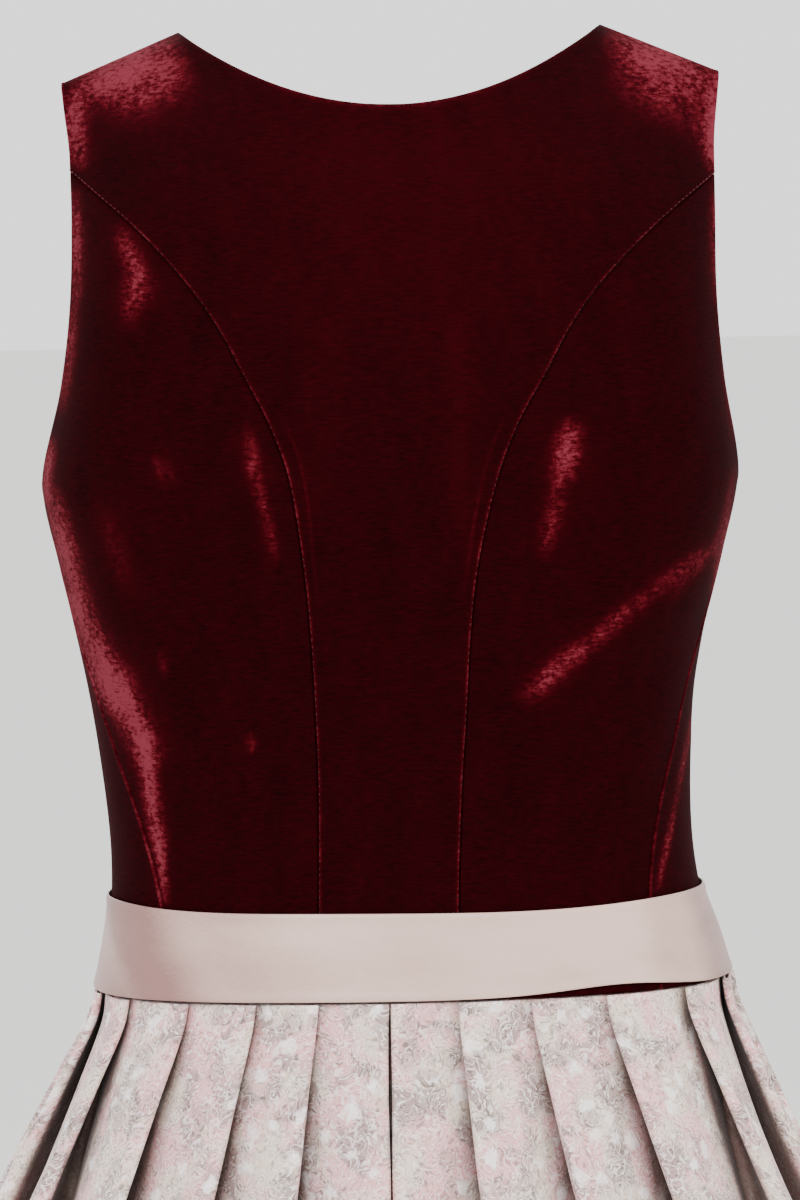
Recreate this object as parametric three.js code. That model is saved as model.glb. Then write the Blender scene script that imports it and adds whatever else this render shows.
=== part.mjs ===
// A dirndl dress in its worn shape: a fitted sleeveless velvet bodice with curved back seams,
// a satin sash over the waist seam, and a full skirt laid in knife pleats towards the centre back.
//
// Millimetres, +Z up. The wearer faces -Y, and +X is the wearer's left.
// The origin lies midway between the two shoulder ridges, where the shoulders carry the dress.
//
// The bodice lies on a form: a stack of rounded rings that closes to a line along the shoulders.
// A place on the form is an angle round it (0 at the centre back, 90 at the wearer's left,
// 180 at the centre front, negative on the wearer's right) and a level, the length of cloth
// from the waist seam up over the shoulder blades.
import * as THREE from "three";

const DEGREE = Math.PI / 180;

// Cloth
const BODICE_WALL = 1.5;
const SASH_WALL = 1.0;
const SKIRT_WALL = 1.0;
const SEAM_GAP = 0.3;

// Bodice
const WAIST_SEAM_Z = -405;
const WAIST_RISE = { left: -1.2, right: 1 }; // how much higher the waist seam is at each side
const SHOULDER_X = 120; // a ring has its own height here
const SHOULDER_FALL = 0.412; // fall of the ridge for each millimetre outwards
const NECK_X = 92.2; // where the neckline meets the ridge
const ARM_X = 144.3; // where the armhole meets the ridge
const BACK_NECK = { low: -20.2, rise: 0.0039 };
const FRONT_NECK = { low: -128, power: 2.7 };
const BUST = { x: 80, z: -212, proud: 27, wide: 44, tall: 58 };
const BACK_SEAM_TOP = { left: -47, right: -53 }; // where the curved back seam leaves the armhole
const FRONT_SEAM_TOP_Z = -92;

// How far up a panel the shape of its neckline is felt, as a power of the height
const TOP_POWER = { back: 4.5, front: 5 };

// Armhole: half its opening, in degrees each way from the side, and its round lower end
const ARMHOLE = { low: -181, round: -100, ridge: 15.9, back: 18.5, front: 27 };
const ARMHOLE_EASE = { back: 32, front: 75 }; // the depth over which the opening widens

// Front fastening: the wearer's right front laps over the left one
const LAP = { half: 10, sink: 1.9, flat: 13, eased: 28 };
const BUTTON = { radius: 6.5, rim: 1.6, height: 4.2, first: -143, pitch: 36, count: 6, gap: 0.45 };

// Sash: a ribbon round the waist, its ends lapped on the wearer's left front
const SASH = { top: -368, rise: 3.2, gap: 0.85, start: 152, lap: 13, ease: 9 };
const SASH_RIDE = { angle: -37, wide: 17, lift: 3.6 }; // where it rides up off the skirt

// Skirt
const SKIRT_TOP_GAP = 0.8;
const WAIST_HOLD = 200; // the drop over which the skirt loses the waist's rise
const CENTRE_DEPTH = 26; // depth of the inverted pleat at the centre back
const FRONT_BOX = 44; // width of the box pleat at the centre front

// Rings of the form, from the waist seam up. shift moves a ring towards the wearer's left,
// lift raises it towards the neck, and square flattens the back, front and sides.
const FORM = [
  { z: -408, halfWidth: 139.8, back: 86, front: 92, shift: -2.9, lift: 0, square: 0.03 },
  { z: -387, halfWidth: 134, back: 82, front: 90, shift: -2, lift: 0, square: 0.03 },
  { z: -368, halfWidth: 130, back: 79, front: 88.5, shift: -0.2, lift: 0, square: 0.03 },
  { z: -341, halfWidth: 128.2, back: 78, front: 88, shift: 1.5, lift: 0, square: 0.03 },
  { z: -306, halfWidth: 130, back: 80, front: 91, shift: 3.2, lift: 0, square: 0.03 },
  { z: -271, halfWidth: 134.1, back: 85, front: 97, shift: 4.4, lift: 0, square: 0.035 },
  { z: -218, halfWidth: 145.7, back: 92, front: 105, shift: 3.7, lift: 0, square: 0.04 },
  { z: -183, halfWidth: 152.6, back: 96, front: 107, shift: 3.2, lift: 0, square: 0.045 },
  { z: -140, halfWidth: 147.6, back: 98, front: 103, shift: 1.4, lift: 0, square: 0.05 },
  { z: -100, halfWidth: 145, back: 96, front: 95, shift: 0.3, lift: 0.05, square: 0.045 },
  { z: -66, halfWidth: 145.6, back: 87, front: 82, shift: -0.3, lift: 0.16, square: 0.03 },
  { z: -38, halfWidth: 147, back: 69, front: 62, shift: -0.2, lift: 0.28, square: 0.015 },
  { z: -16.5, halfWidth: 148.5, back: 45, front: 41, shift: 0, lift: 0.36, square: 0.005 },
  { z: -4, halfWidth: 149.5, back: 23, front: 21, shift: 0, lift: 0.4, square: 0 },
  { z: 1.4, halfWidth: 150, back: 0, front: 0, shift: 0, lift: SHOULDER_FALL, square: 0 },
];

// The curved back seam: its distance from the middle of the centre panel, and how far that
// middle has drifted to the wearer's left.
const BACK_SEAM = [
  { z: -408, x: 31, drift: 7.5 },
  { z: -367, x: 30.4, drift: 7.4 },
  { z: -316, x: 31.1, drift: 5.8 },
  { z: -281, x: 32.7, drift: 4.7 },
  { z: -245, x: 34.7, drift: 4.2 },
  { z: -216, x: 37.8, drift: 3.5 },
  { z: -178, x: 45.3, drift: 1.6 },
  { z: -155, x: 54, drift: 0.9 },
  { z: -137, x: 63.7, drift: 0.1 },
  { z: -115, x: 75.5, drift: -0.4 },
  { z: -96, x: 89.2, drift: -1.1 },
  { z: -74, x: 110.1, drift: -2.3 },
  { z: -53, x: 135.5, drift: -3.5 },
  { z: -47, x: 143.2, drift: -3.8 },
];

// The side seam, as an angle from the centre back: it swings backwards towards the waist.
const SIDE_SEAM = [
  { z: -408, angle: 46 },
  { z: -368, angle: 50.5 },
  { z: -340, angle: 55.5 },
  { z: -320, angle: 60 },
  { z: -300, angle: 65.5 },
  { z: -276, angle: 71.5 },
  { z: -240, angle: 80 },
  { z: ARMHOLE.low, angle: 90 },
];

// The front seam, over the bust.
const FRONT_SEAM = [
  { z: -408, x: 62 },
  { z: -368, x: 60 },
  { z: -310, x: 65 },
  { z: -260, x: 72 },
  { z: -212, x: 82 },
  { z: -168, x: 95 },
  { z: -128, x: 112 },
  { z: FRONT_SEAM_TOP_Z, x: 134 },
];

// Rings of the skirt's outer folds, from the waist seam down. turn is the place of the inverted
// pleat, in degrees from the centre back to the wearer's left, and centre is how wide it stands
// open. lean is the heading of the cloth on its way back out of a pleat (180 folds it flat, 90
// stands it on edge), and bend is the radius of the folds.
const SKIRT = [
  { z: 0, halfWidth: 141.4, back: 87, front: 93, shift: -2.9, turn: 3.8, lean: 172, bend: 1.15, centre: 4.1 },
  { z: -12, halfWidth: 144.3, back: 90, front: 96, shift: -2.5, turn: 3.7, lean: 169, bend: 1.5, centre: 5.6 },
  { z: -38, halfWidth: 156.9, back: 101, front: 107, shift: -0.9, turn: 2.95, lean: 161, bend: 2.3, centre: 8.4 },
  { z: -80, halfWidth: 177.7, back: 121, front: 127, shift: 1, turn: 2.1, lean: 148, bend: 3.8, centre: 12.8 },
  { z: -145, halfWidth: 209, back: 151, front: 158, shift: 0.8, turn: 2, lean: 127, bend: 6.5, centre: 27 },
  { z: -235, halfWidth: 246, back: 189, front: 197, shift: 0.5, turn: 1.9, lean: 104, bend: 9, centre: 44 },
  { z: -345, halfWidth: 285, back: 229, front: 238, shift: 0, turn: 1.8, lean: 87, bend: 12, centre: 58 },
  { z: -475, halfWidth: 321, back: 263, front: 273, shift: 0, turn: 1.7, lean: 75, bend: 14, centre: 66 },
  { z: -618, halfWidth: 350, back: 288, front: 299, shift: 0, turn: 1.6, lean: 66, bend: 16, centre: 72 },
];

// Visible width of each pleat at the waist and the depth of its fold, from the centre back round
// to the centre front, on the wearer's left and on the right.
const PLEATS_LEFT = [
  { width: 31, depth: 36 },
  { width: 28, depth: 38 },
  { width: 32, depth: 35 },
  { width: 35, depth: 39 },
  { width: 33, depth: 36 },
  { width: 32, depth: 38 },
  { width: 31, depth: 37 },
  { width: 33, depth: 35 },
  { width: 32, depth: 38 },
  { width: 31, depth: 36 },
  { width: 32, depth: 37 },
];
const PLEATS_RIGHT = [
  { width: 28.5, depth: 37 },
  { width: 31, depth: 36 },
  { width: 33, depth: 39 },
  { width: 40, depth: 38 },
  { width: 34, depth: 35 },
  { width: 32, depth: 37 },
  { width: 31, depth: 38 },
  { width: 32, depth: 36 },
  { width: 33, depth: 37 },
  { width: 31, depth: 35 },
  { width: 32, depth: 37 },
];
const SEAM_PLEAT = 5; // the skirt's side seams are hidden in this pleat

// Numbers of facets
const FACETS = {
  seamRows: 14,
  armholeRows: 5,
  backColumns: 14,
  sideColumns: 6,
  frontSideColumns: 8,
  frontColumns: 7,
  sashColumns: 90,
  sashRows: 3,
  buttonSides: 12,
};
const PLEAT_STEPS = { forward: 4, fold: 3, back: 2 };

// Numbers and tables

const mix = (a, b, t) => a + (b - a) * t;

function ease(t) {
  const s = Math.min(1, Math.max(0, t));
  return s * s * (3 - 2 * s);
}

// A smooth curve through the rows of a table, by its key column, as a function of that key.
function through(rows, key) {
  const columns = Object.keys(rows[0]).filter((name) => name !== key);
  const last = rows.length - 1;
  const slope = (name, i) => {
    const before = rows[Math.max(0, i - 1)];
    const after = rows[Math.min(last, i + 1)];
    return (after[name] - before[name]) / (after[key] - before[key]);
  };
  return (at) => {
    let i = 0;
    while (i < last - 1 && at > rows[i + 1][key]) i += 1;
    const a = rows[i];
    const b = rows[i + 1];
    const span = b[key] - a[key];
    const t = Math.min(1, Math.max(0, (at - a[key]) / span));
    const found = {};
    for (const name of columns) {
      const start = a[name] * (1 + 2 * t) * (1 - t) ** 2 + b[name] * t * t * (3 - 2 * t);
      const turn = slope(name, i) * t * (1 - t) ** 2 - slope(name, i + 1) * t * t * (1 - t);
      found[name] = start + turn * span;
    }
    return found;
  };
}

// The argument between low and high where a rising function reaches the target.
function solve(rising, target, low, high) {
  let a = low;
  let b = high;
  for (let i = 0; i < 48; i += 1) {
    const middle = (a + b) / 2;
    if (rising(middle) < target) a = middle;
    else b = middle;
  }
  return (a + b) / 2;
}

// The form

// Half a ring's outline: across and along, for a half-width and depth of 1.
function outline(angle, square) {
  return {
    across: (Math.sin(angle) + square * Math.sin(3 * angle)) / (1 - square),
    along: (Math.cos(angle) - square * Math.cos(3 * angle)) / (1 - square),
  };
}

// Each ring gets its level: the length of cloth up the middle of the shoulder.
function withLevels(rows) {
  let level = 0;
  return rows.map((row, i) => {
    if (i > 0) level += Math.hypot(row.z - rows[i - 1].z, row.back - rows[i - 1].back);
    return { ...row, level };
  });
}

const LEVELLED = withLevels(FORM);
const TOP_LEVEL = LEVELLED[LEVELLED.length - 1].level;
const formRing = through(LEVELLED, "level");

function formPoint(degrees, level) {
  const ring = formRing(level);
  const { across, along } = outline(degrees * DEGREE, ring.square);
  const x = ring.shift + ring.halfWidth * across;
  const z = ring.z - ring.lift * (Math.abs(x) - SHOULDER_X);
  const frontShare = ease(-1.6 * along);
  const sideways = (Math.abs(x) - BUST.x) / BUST.wide;
  const upright = (z - BUST.z) / BUST.tall;
  const bust = BUST.proud * frontShare * Math.exp(-(sideways ** 2) - upright ** 2);
  const y = (along > 0 ? ring.back : ring.front) * along - bust;
  return new THREE.Vector3(x, y, z);
}

const pointAt = (place) => formPoint(place.angle, place.level);

// The form's outward normal.
function formNormal(degrees, level) {
  const turn = 0.5;
  const rise = 0.5;
  const around = formPoint(degrees + turn, level).sub(formPoint(degrees - turn, level));
  const below = formPoint(degrees, Math.max(0, level - rise));
  const up = formPoint(degrees, Math.min(TOP_LEVEL, level + rise)).sub(below);
  const normal = up.cross(around).normalize();
  // On the ridge the back and the front share one upright plane.
  if (level > TOP_LEVEL - 1) normal.setY(0).normalize();
  return normal;
}

// A point of the form, moved out by the given distance.
function offForm(place, out) {
  const normal = formNormal(place.angle, place.level);
  return pointAt(place).addScaledVector(normal, out);
}

// How far the waist seam rises at an angle round the waist.
function waistRise(degrees) {
  const across = Math.sin(degrees * DEGREE);
  return across * across * (across > 0 ? WAIST_RISE.left : WAIST_RISE.right);
}

const waistZ = (degrees) => WAIST_SEAM_Z + waistRise(degrees);

const levelAt = (degrees, z) => solve((level) => formPoint(degrees, level).z, z, 0, TOP_LEVEL);

const atHeight = (degrees, z) => ({ angle: degrees, level: levelAt(degrees, z) });

// The place on the back or the front at a distance x from the middle, at height z.
function atPoint(x, z, isFront) {
  const side = Math.sign(x) || 1;
  const across = (turn) => {
    const angle = side * (isFront ? 180 - turn : turn);
    return side * formPoint(angle, levelAt(angle, z)).x;
  };
  const turn = solve(across, Math.abs(x), -20, 89);
  return atHeight(side * (isFront ? 180 - turn : turn), z);
}

// A curve's places, evenly spaced along the cloth. The curve is a function of 0 to 1.
function evenly(curve, steps) {
  const fine = 160;
  const places = Array.from({ length: fine + 1 }, (_, i) => curve(i / fine));
  const points = places.map(pointAt);
  const lengths = [0];
  for (let i = 1; i <= fine; i += 1) lengths.push(lengths[i - 1] + points[i].distanceTo(points[i - 1]));
  return Array.from({ length: steps + 1 }, (_, k) => {
    const wanted = (lengths[fine] * k) / steps;
    let i = 1;
    while (i < fine && lengths[i] < wanted) i += 1;
    const t = (wanted - lengths[i - 1]) / (lengths[i] - lengths[i - 1]);
    return between(places[i - 1], places[i], t);
  });
}

const between = (a, b, t) => ({ angle: mix(a.angle, b.angle, t), level: mix(a.level, b.level, t) });

// Seam and edge lines, for side 1 (the wearer's left) or -1

// Half the armhole's opening at a height, in degrees.
function opening(z, isFront) {
  const widest = isFront ? ARMHOLE.front : ARMHOLE.back;
  const depth = isFront ? ARMHOLE_EASE.front : ARMHOLE_EASE.back;
  const ridgeZ = -SHOULDER_FALL * (ARM_X - SHOULDER_X);
  const full = mix(ARMHOLE.ridge, widest, ease((ridgeZ - z) / depth));
  const down = Math.max(0, (z - ARMHOLE.round) / (ARMHOLE.low - ARMHOLE.round));
  return full * Math.sqrt(Math.max(0, 1 - down * down));
}

// The place on the armhole's edge at a height.
function armhole(side, z, isFront) {
  const turned = isFront ? opening(z, true) : -opening(z, false);
  return atHeight(side * (90 + turned), z);
}

// The armhole's edge from its lowest point, under the arm, up to a height.
function armholeLine(side, toZ, isFront) {
  const reach = toZ - ARMHOLE.low;
  return (t) => armhole(side, ARMHOLE.low + reach * (1 - Math.cos((t * Math.PI) / 2)), isFront);
}

// The top of the armhole's edge, on the ridge.
function shoulderCorner(side, isFront) {
  const turn = solve((a) => formPoint(a, TOP_LEVEL).x, ARM_X, 0, 90);
  return { angle: side * (isFront ? 180 - turn : turn), level: TOP_LEVEL };
}

// Up the armhole's edge from a height to the ridge.
function upToRidge(side, fromZ, isFront) {
  const start = armhole(side, fromZ, isFront);
  const corner = shoulderCorner(side, isFront);
  return (t) => {
    const level = mix(start.level, corner.level, t);
    const angleThere = (angle) => {
      const z = formPoint(angle, level).z;
      return side * (90 + (isFront ? opening(z, true) : -opening(z, false)));
    };
    const angle = angleThere(angleThere(start.angle));
    return { angle: mix(angle, corner.angle, ease((t - 0.6) / 0.4)), level };
  };
}

const backSeamTable = through(BACK_SEAM, "z");
const sideSeamTable = through(SIDE_SEAM, "z");
const frontSeamTable = through(FRONT_SEAM, "z");

const backSeamTop = (side) => (side > 0 ? BACK_SEAM_TOP.left : BACK_SEAM_TOP.right);

function backSeam(side) {
  const topZ = backSeamTop(side);
  const edge = pointAt(armhole(side, topZ, false));
  const end = backSeamTable(topZ);
  const miss = side * (edge.x - end.drift) - end.x;
  const at = (t, z) => {
    const row = backSeamTable(z);
    return atPoint(row.drift + side * (row.x + miss * ease((t - 0.85) / 0.15)), z, false);
  };
  const start = waistZ(at(0, WAIST_SEAM_Z).angle);
  return (t) => at(t, mix(start, topZ, t));
}

function sideSeam(side) {
  const start = waistZ(side * sideSeamTable(WAIST_SEAM_Z).angle);
  return (t) => {
    const z = mix(start, ARMHOLE.low, t);
    return atHeight(side * sideSeamTable(z).angle, z);
  };
}

function frontSeam(side) {
  const edge = pointAt(armhole(side, FRONT_SEAM_TOP_Z, true));
  const miss = side * edge.x - frontSeamTable(FRONT_SEAM_TOP_Z).x;
  const at = (t, z) => atPoint(side * (frontSeamTable(z).x + miss * ease((t - 0.8) / 0.2)), z, true);
  const start = waistZ(at(0, WAIST_SEAM_Z).angle);
  return (t) => at(t, mix(start, FRONT_SEAM_TOP_Z, t));
}

const backNeckZ = (x) => BACK_NECK.low + BACK_NECK.rise * x * x;

function frontNeckZ(x) {
  const top = -SHOULDER_FALL * (NECK_X - SHOULDER_X);
  return mix(FRONT_NECK.low, top, Math.min(1, Math.abs(x) / NECK_X) ** FRONT_NECK.power);
}

// Along the ridge and the neckline, from the wearer's right corner to the left one.
function backTop(columns) {
  const shoulder = 3;
  const neck = columns - 2 * shoulder;
  const right = shoulderCorner(-1, false);
  const left = shoulderCorner(1, false);
  const neckTurn = solve((a) => formPoint(a, TOP_LEVEL).x, NECK_X, 0, 90);
  const neckRight = { angle: -neckTurn, level: TOP_LEVEL };
  const neckLeft = { angle: neckTurn, level: TOP_LEVEL };
  const ridgeRight = evenly((t) => between(right, neckRight, t), shoulder);
  const ridgeLeft = evenly((t) => between(neckLeft, left, t), shoulder);
  const line = (t) => {
    if (t === 0) return neckRight;
    if (t === 1) return neckLeft;
    const x = mix(-NECK_X, NECK_X, t);
    return atPoint(x, backNeckZ(x), false);
  };
  return [...ridgeRight, ...evenly(line, neck).slice(1, -1), ...ridgeLeft];
}

// From the fastening's edge up the front neckline and along the ridge to the armhole.
function frontTop(side, edgeX, columns) {
  const shoulder = 3;
  const neckTurn = solve((a) => formPoint(a, TOP_LEVEL).x, NECK_X, 0, 90);
  const neckPoint = { angle: side * (180 - neckTurn), level: TOP_LEVEL };
  const line = (t) => {
    if (t === 1) return neckPoint;
    const x = mix(edgeX, NECK_X, t);
    return acrossFront(side, x, frontNeckZ(x));
  };
  const ridge = evenly((t) => between(neckPoint, shoulderCorner(side, true), t), shoulder);
  return [...evenly(line, columns - shoulder), ...ridge.slice(1)];
}

// A place on the front at a signed distance x towards the given side, which may lie past the middle.
function acrossFront(side, x, z) {
  const angleOf = (turn) => side * (180 - turn);
  const across = (turn) => {
    const angle = angleOf(turn);
    return side * formPoint(angle, levelAt(angle, z)).x;
  };
  return atHeight(angleOf(solve(across, x, -25, 89)), z);
}

// Solids

// A grid of places between four edge lines. left and right run upwards, bottom and top from left to
// right. With a higher power the shape of the top is felt less far down, so that the columns under
// a low neckline don't turn over.
function patch(left, right, bottom, top, power = 1) {
  const rows = left.length - 1;
  const columns = bottom.length - 1;
  return left.map((_, j) =>
    bottom.map((__, i) => {
      const u = i / columns;
      const v = (j / rows) ** power;
      const blend = (name) => {
        const sides = mix(left[j][name], right[j][name], u);
        const ends = mix(bottom[i][name], top[i][name], v);
        const cornersLow = mix(bottom[0][name], bottom[columns][name], u);
        const cornersHigh = mix(top[0][name], top[columns][name], u);
        return sides + ends - mix(cornersLow, cornersHigh, v);
      };
      return { angle: blend("angle"), level: blend("level") };
    }),
  );
}

// A closed wall between two grids of points of the same size.
function wall(outer, inner) {
  const rows = outer.length;
  const columns = outer[0].length;
  const points = [...outer.flat(), ...inner.flat()];
  const faces = [];
  const at = (j, i) => j * columns + i;
  const under = (j, i) => rows * columns + at(j, i);
  const quad = (a, b, c, d) => faces.push(a, b, c, a, c, d);
  for (let j = 0; j < rows - 1; j += 1) {
    for (let i = 0; i < columns - 1; i += 1) {
      quad(at(j, i), at(j, i + 1), at(j + 1, i + 1), at(j + 1, i));
      quad(under(j, i), under(j + 1, i), under(j + 1, i + 1), under(j, i + 1));
    }
  }
  for (let i = 0; i < columns - 1; i += 1) {
    quad(at(0, i), under(0, i), under(0, i + 1), at(0, i + 1));
    quad(at(rows - 1, i), at(rows - 1, i + 1), under(rows - 1, i + 1), under(rows - 1, i));
  }
  for (let j = 0; j < rows - 1; j += 1) {
    quad(at(j, 0), at(j + 1, 0), under(j + 1, 0), under(j, 0));
    quad(at(j, columns - 1), under(j, columns - 1), under(j + 1, columns - 1), at(j + 1, columns - 1));
  }
  return facingOut(points, faces);
}

// A geometry with its faces turned outwards.
function facingOut(points, faces) {
  let volume = 0;
  for (let f = 0; f < faces.length; f += 3) {
    const [a, b, c] = [0, 1, 2].map((k) => points[faces[f + k]]);
    volume += a.dot(new THREE.Vector3().crossVectors(b, c));
  }
  const index = [];
  for (let f = 0; f < faces.length; f += 3) {
    const [a, b, c] = faces.slice(f, f + 3);
    index.push(a, ...(volume > 0 ? [b, c] : [c, b]));
  }
  const geometry = new THREE.BufferGeometry();
  geometry.setAttribute("position", new THREE.Float32BufferAttribute(points.flatMap((p) => p.toArray()), 3));
  geometry.setIndex(index);
  geometry.computeVertexNormals();
  return geometry;
}

// Each edge of a panel stands half the seam gap away from its seam line.
function trimmed(grid) {
  const last = grid.length - 1;
  const end = grid[0].length - 1;
  const share = (a, b) => {
    const length = pointAt(a).distanceTo(pointAt(b));
    return SEAM_GAP / 2 / Math.max(length, SEAM_GAP);
  };
  return grid.map((row, j) =>
    row.map((place, i) => {
      let moved = place;
      if (i === 0) moved = between(moved, row[1], share(place, row[1]));
      if (i === end) moved = between(moved, row[end - 1], share(place, row[end - 1]));
      if (j === last) moved = between(moved, grid[last - 1][i], share(place, grid[last - 1][i]));
      return moved;
    }),
  );
}

// A panel of the bodice. sunk says how far a place of it lies below the form.
function panel(grid, sunk = () => 0) {
  const places = trimmed(grid);
  const outer = places.map((row) => row.map((p) => offForm(p, -sunk(p))));
  const inner = places.map((row) => row.map((p) => offForm(p, -sunk(p) - BODICE_WALL)));
  return wall(outer, inner);
}

// Bodice panels

const seamPlaces = {};
for (const side of [-1, 1]) {
  seamPlaces[side] = {
    back: evenly(backSeam(side), FACETS.seamRows),
    side: evenly(sideSeam(side), FACETS.seamRows),
    front: evenly(frontSeam(side), FACETS.seamRows),
  };
}

// The waist edge between two places at the waist seam.
function waistEdge(from, to, columns) {
  const line = (t) => {
    const angle = mix(from.angle, to.angle, t);
    return atHeight(angle, waistZ(angle));
  };
  return evenly(line, columns);
}

function backCentre() {
  const edge = (side) => [
    ...seamPlaces[side].back,
    ...evenly(upToRidge(side, backSeamTop(side), false), FACETS.armholeRows).slice(1),
  ];
  const right = edge(-1);
  const left = edge(1);
  const columns = FACETS.backColumns;
  return panel(patch(right, left, waistEdge(right[0], left[0], columns), backTop(columns), TOP_POWER.back));
}

function backSide(side) {
  const columns = FACETS.sideColumns;
  const inner = seamPlaces[side].back;
  const outer = seamPlaces[side].side;
  const top = evenly(armholeLine(side, backSeamTop(side), false), columns).reverse();
  return panel(patch(inner, outer, waistEdge(inner[0], outer[0], columns), top));
}

function frontSide(side) {
  const columns = FACETS.frontSideColumns;
  const outer = seamPlaces[side].side;
  const inner = seamPlaces[side].front;
  const top = evenly(armholeLine(side, FRONT_SEAM_TOP_Z, true), columns);
  return panel(patch(outer, inner, waistEdge(outer[0], inner[0], columns), top));
}

// A front panel starts with the straight columns of its lap. The left one dips under the right.
function frontPanel(side, isUnder) {
  const outer = [
    ...seamPlaces[side].front,
    ...evenly(upToRidge(side, FRONT_SEAM_TOP_Z, true), FACETS.armholeRows).slice(1),
  ];
  const column = (x) => {
    const topZ = frontNeckZ(x);
    return evenly((t) => acrossFront(side, x, mix(WAIST_SEAM_Z, topZ, t)), outer.length - 1);
  };
  const lap = [-LAP.half, 1, LAP.flat].map(column);
  const inner = column(LAP.eased);
  const columns = FACETS.frontColumns;
  const top = frontTop(side, LAP.eased, columns);
  const rest = patch(inner, outer, waistEdge(inner[0], outer[0], columns), top, TOP_POWER.front);
  const grid = rest.map((row, j) => [...lap.map((places) => places[j]), ...row]);
  const sunk = (place) => {
    const x = side * pointAt(place).x;
    return isUnder ? LAP.sink * ease((LAP.eased - x) / (LAP.eased - LAP.flat)) : 0;
  };
  return panel(grid, sunk);
}

// Sash

function sash() {
  const turnTotal = 360 + SASH.lap;
  const grid = (out) => {
    const rows = [];
    for (let j = 0; j <= FACETS.sashRows; j += 1) {
      const row = [];
      for (let i = 0; i <= FACETS.sashColumns; i += 1) {
        const turn = (turnTotal * i) / FACETS.sashColumns;
        const angle = wrapped(SASH.start + turn);
        const ride = SASH_RIDE.lift * Math.exp(-(((angle - SASH_RIDE.angle) / SASH_RIDE.wide) ** 2));
        const top = SASH.top + SASH.rise * Math.sin(angle * DEGREE) ** 2;
        const z = mix(waistZ(angle) + ride, top, j / FACETS.sashRows);
        const over = ease((turn - 360 + SASH.ease) / SASH.ease) * (SASH_WALL + SEAM_GAP + 0.2);
        row.push(offForm(atHeight(angle, z), SASH.gap + out + over));
      }
      rows.push(row);
    }
    return rows;
  };
  return wall(grid(SASH_WALL), grid(0));
}

const wrapped = (angle) => ((((angle + 180) % 360) + 360) % 360) - 180;

// Buttons

function button(z) {
  const profile = [
    new THREE.Vector2(0, 0),
    new THREE.Vector2(BUTTON.radius * 0.86, 0),
    new THREE.Vector2(BUTTON.radius, BUTTON.rim * 0.5),
    new THREE.Vector2(BUTTON.radius * 0.9, BUTTON.rim),
    new THREE.Vector2(BUTTON.radius * 0.55, BUTTON.height * 0.82),
    new THREE.Vector2(0, BUTTON.height),
  ];
  const geometry = new THREE.LatheGeometry(profile, FACETS.buttonSides);
  const place = atHeight(180, z);
  const normal = formNormal(place.angle, place.level);
  const turn = new THREE.Quaternion().setFromUnitVectors(new THREE.Vector3(0, 1, 0), normal);
  geometry.applyQuaternion(turn);
  const seat = offForm(place, BUTTON.gap);
  geometry.translate(seat.x, seat.y, seat.z);
  return geometry;
}

// Skirt

const skirtRing = through(
  SKIRT.map((row) => ({ ...row, drop: -row.z })),
  "drop",
);

// The skirt's outer outline at a height, from the centre pleat round to the centre front on one
// side, as a function of the length along it.
function skirtOutline(row, side) {
  const steps = 360;
  const sweep = 180 - side * row.turn;
  const points = [];
  const lengths = [0];
  for (let i = 0; i <= steps; i += 1) {
    const angle = (row.turn + side * sweep * (i / steps)) * DEGREE;
    const { across, along } = outline(angle, 0.03);
    const depth = along > 0 ? row.back : row.front;
    points.push(new THREE.Vector2(row.shift + row.halfWidth * across, depth * along));
    if (i > 0) lengths.push(lengths[i - 1] + points[i].distanceTo(points[i - 1]));
  }
  const total = lengths[steps];
  const place = (length, out) => {
    const wanted = Math.min(total, Math.max(0, length));
    let i = 1;
    while (i < steps && lengths[i] < wanted) i += 1;
    const t = (wanted - lengths[i - 1]) / (lengths[i] - lengths[i - 1]);
    const along = points[i].clone().sub(points[i - 1]).normalize();
    const point = points[i - 1].clone().lerp(points[i], t);
    point.addScaledVector(along, length - wanted);
    const before = points[Math.max(0, i - 6)];
    const after = points[Math.min(steps, i + 5)];
    const tangent = after.clone().sub(before).normalize();
    return new THREE.Vector2(point.x - side * tangent.y * out, point.y + side * tangent.x * out);
  };
  return { total, place };
}

// A pleat's section: forward under its neighbour, a fold, back out, and a fold on to the next one.
// Its cloth is `cloth` long and it advances by `pitch`. The cloth comes back at the heading `lean`.
function pleatSection(pitch, cloth, lean, bend) {
  const parts = (dip) => {
    const turned = 2 * bend * (lean + dip);
    const foldRise = 2 * bend * (Math.cos(dip) - Math.cos(lean));
    const back = ((cloth - turned) * Math.sin(dip) - foldRise) / (Math.sin(lean) + Math.sin(dip));
    const forward = cloth - turned - back;
    const foldReach = 2 * bend * (Math.sin(lean) + Math.sin(dip));
    return { back, forward, reach: forward * Math.cos(dip) + foldReach + back * Math.cos(lean) };
  };
  const dip = solve((a) => -parts(a).reach, -pitch, 0.001, 1.2);
  return { dip, ...parts(dip) };
}

// The points of a section as it is walked: where the cloth is, and its heading.
class Walk {
  constructor(length, out, heading) {
    this.at = { length, out, heading };
    this.points = [];
  }

  mark() {
    this.points.push({ ...this.at });
  }

  straight(distance, steps) {
    for (let i = 0; i < steps; i += 1) {
      this.mark();
      this.at.length += (distance / steps) * Math.cos(this.at.heading);
      this.at.out += (distance / steps) * Math.sin(this.at.heading);
    }
  }

  fold(to, bend, steps) {
    const turn = (to - this.at.heading) / steps;
    for (let i = 0; i < steps; i += 1) {
      this.mark();
      const { heading } = this.at;
      const sign = Math.sign(turn);
      this.at.length += sign * bend * (Math.sin(heading + turn) - Math.sin(heading));
      this.at.out -= sign * bend * (Math.cos(heading + turn) - Math.cos(heading));
      this.at.heading += turn;
    }
  }
}

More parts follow.
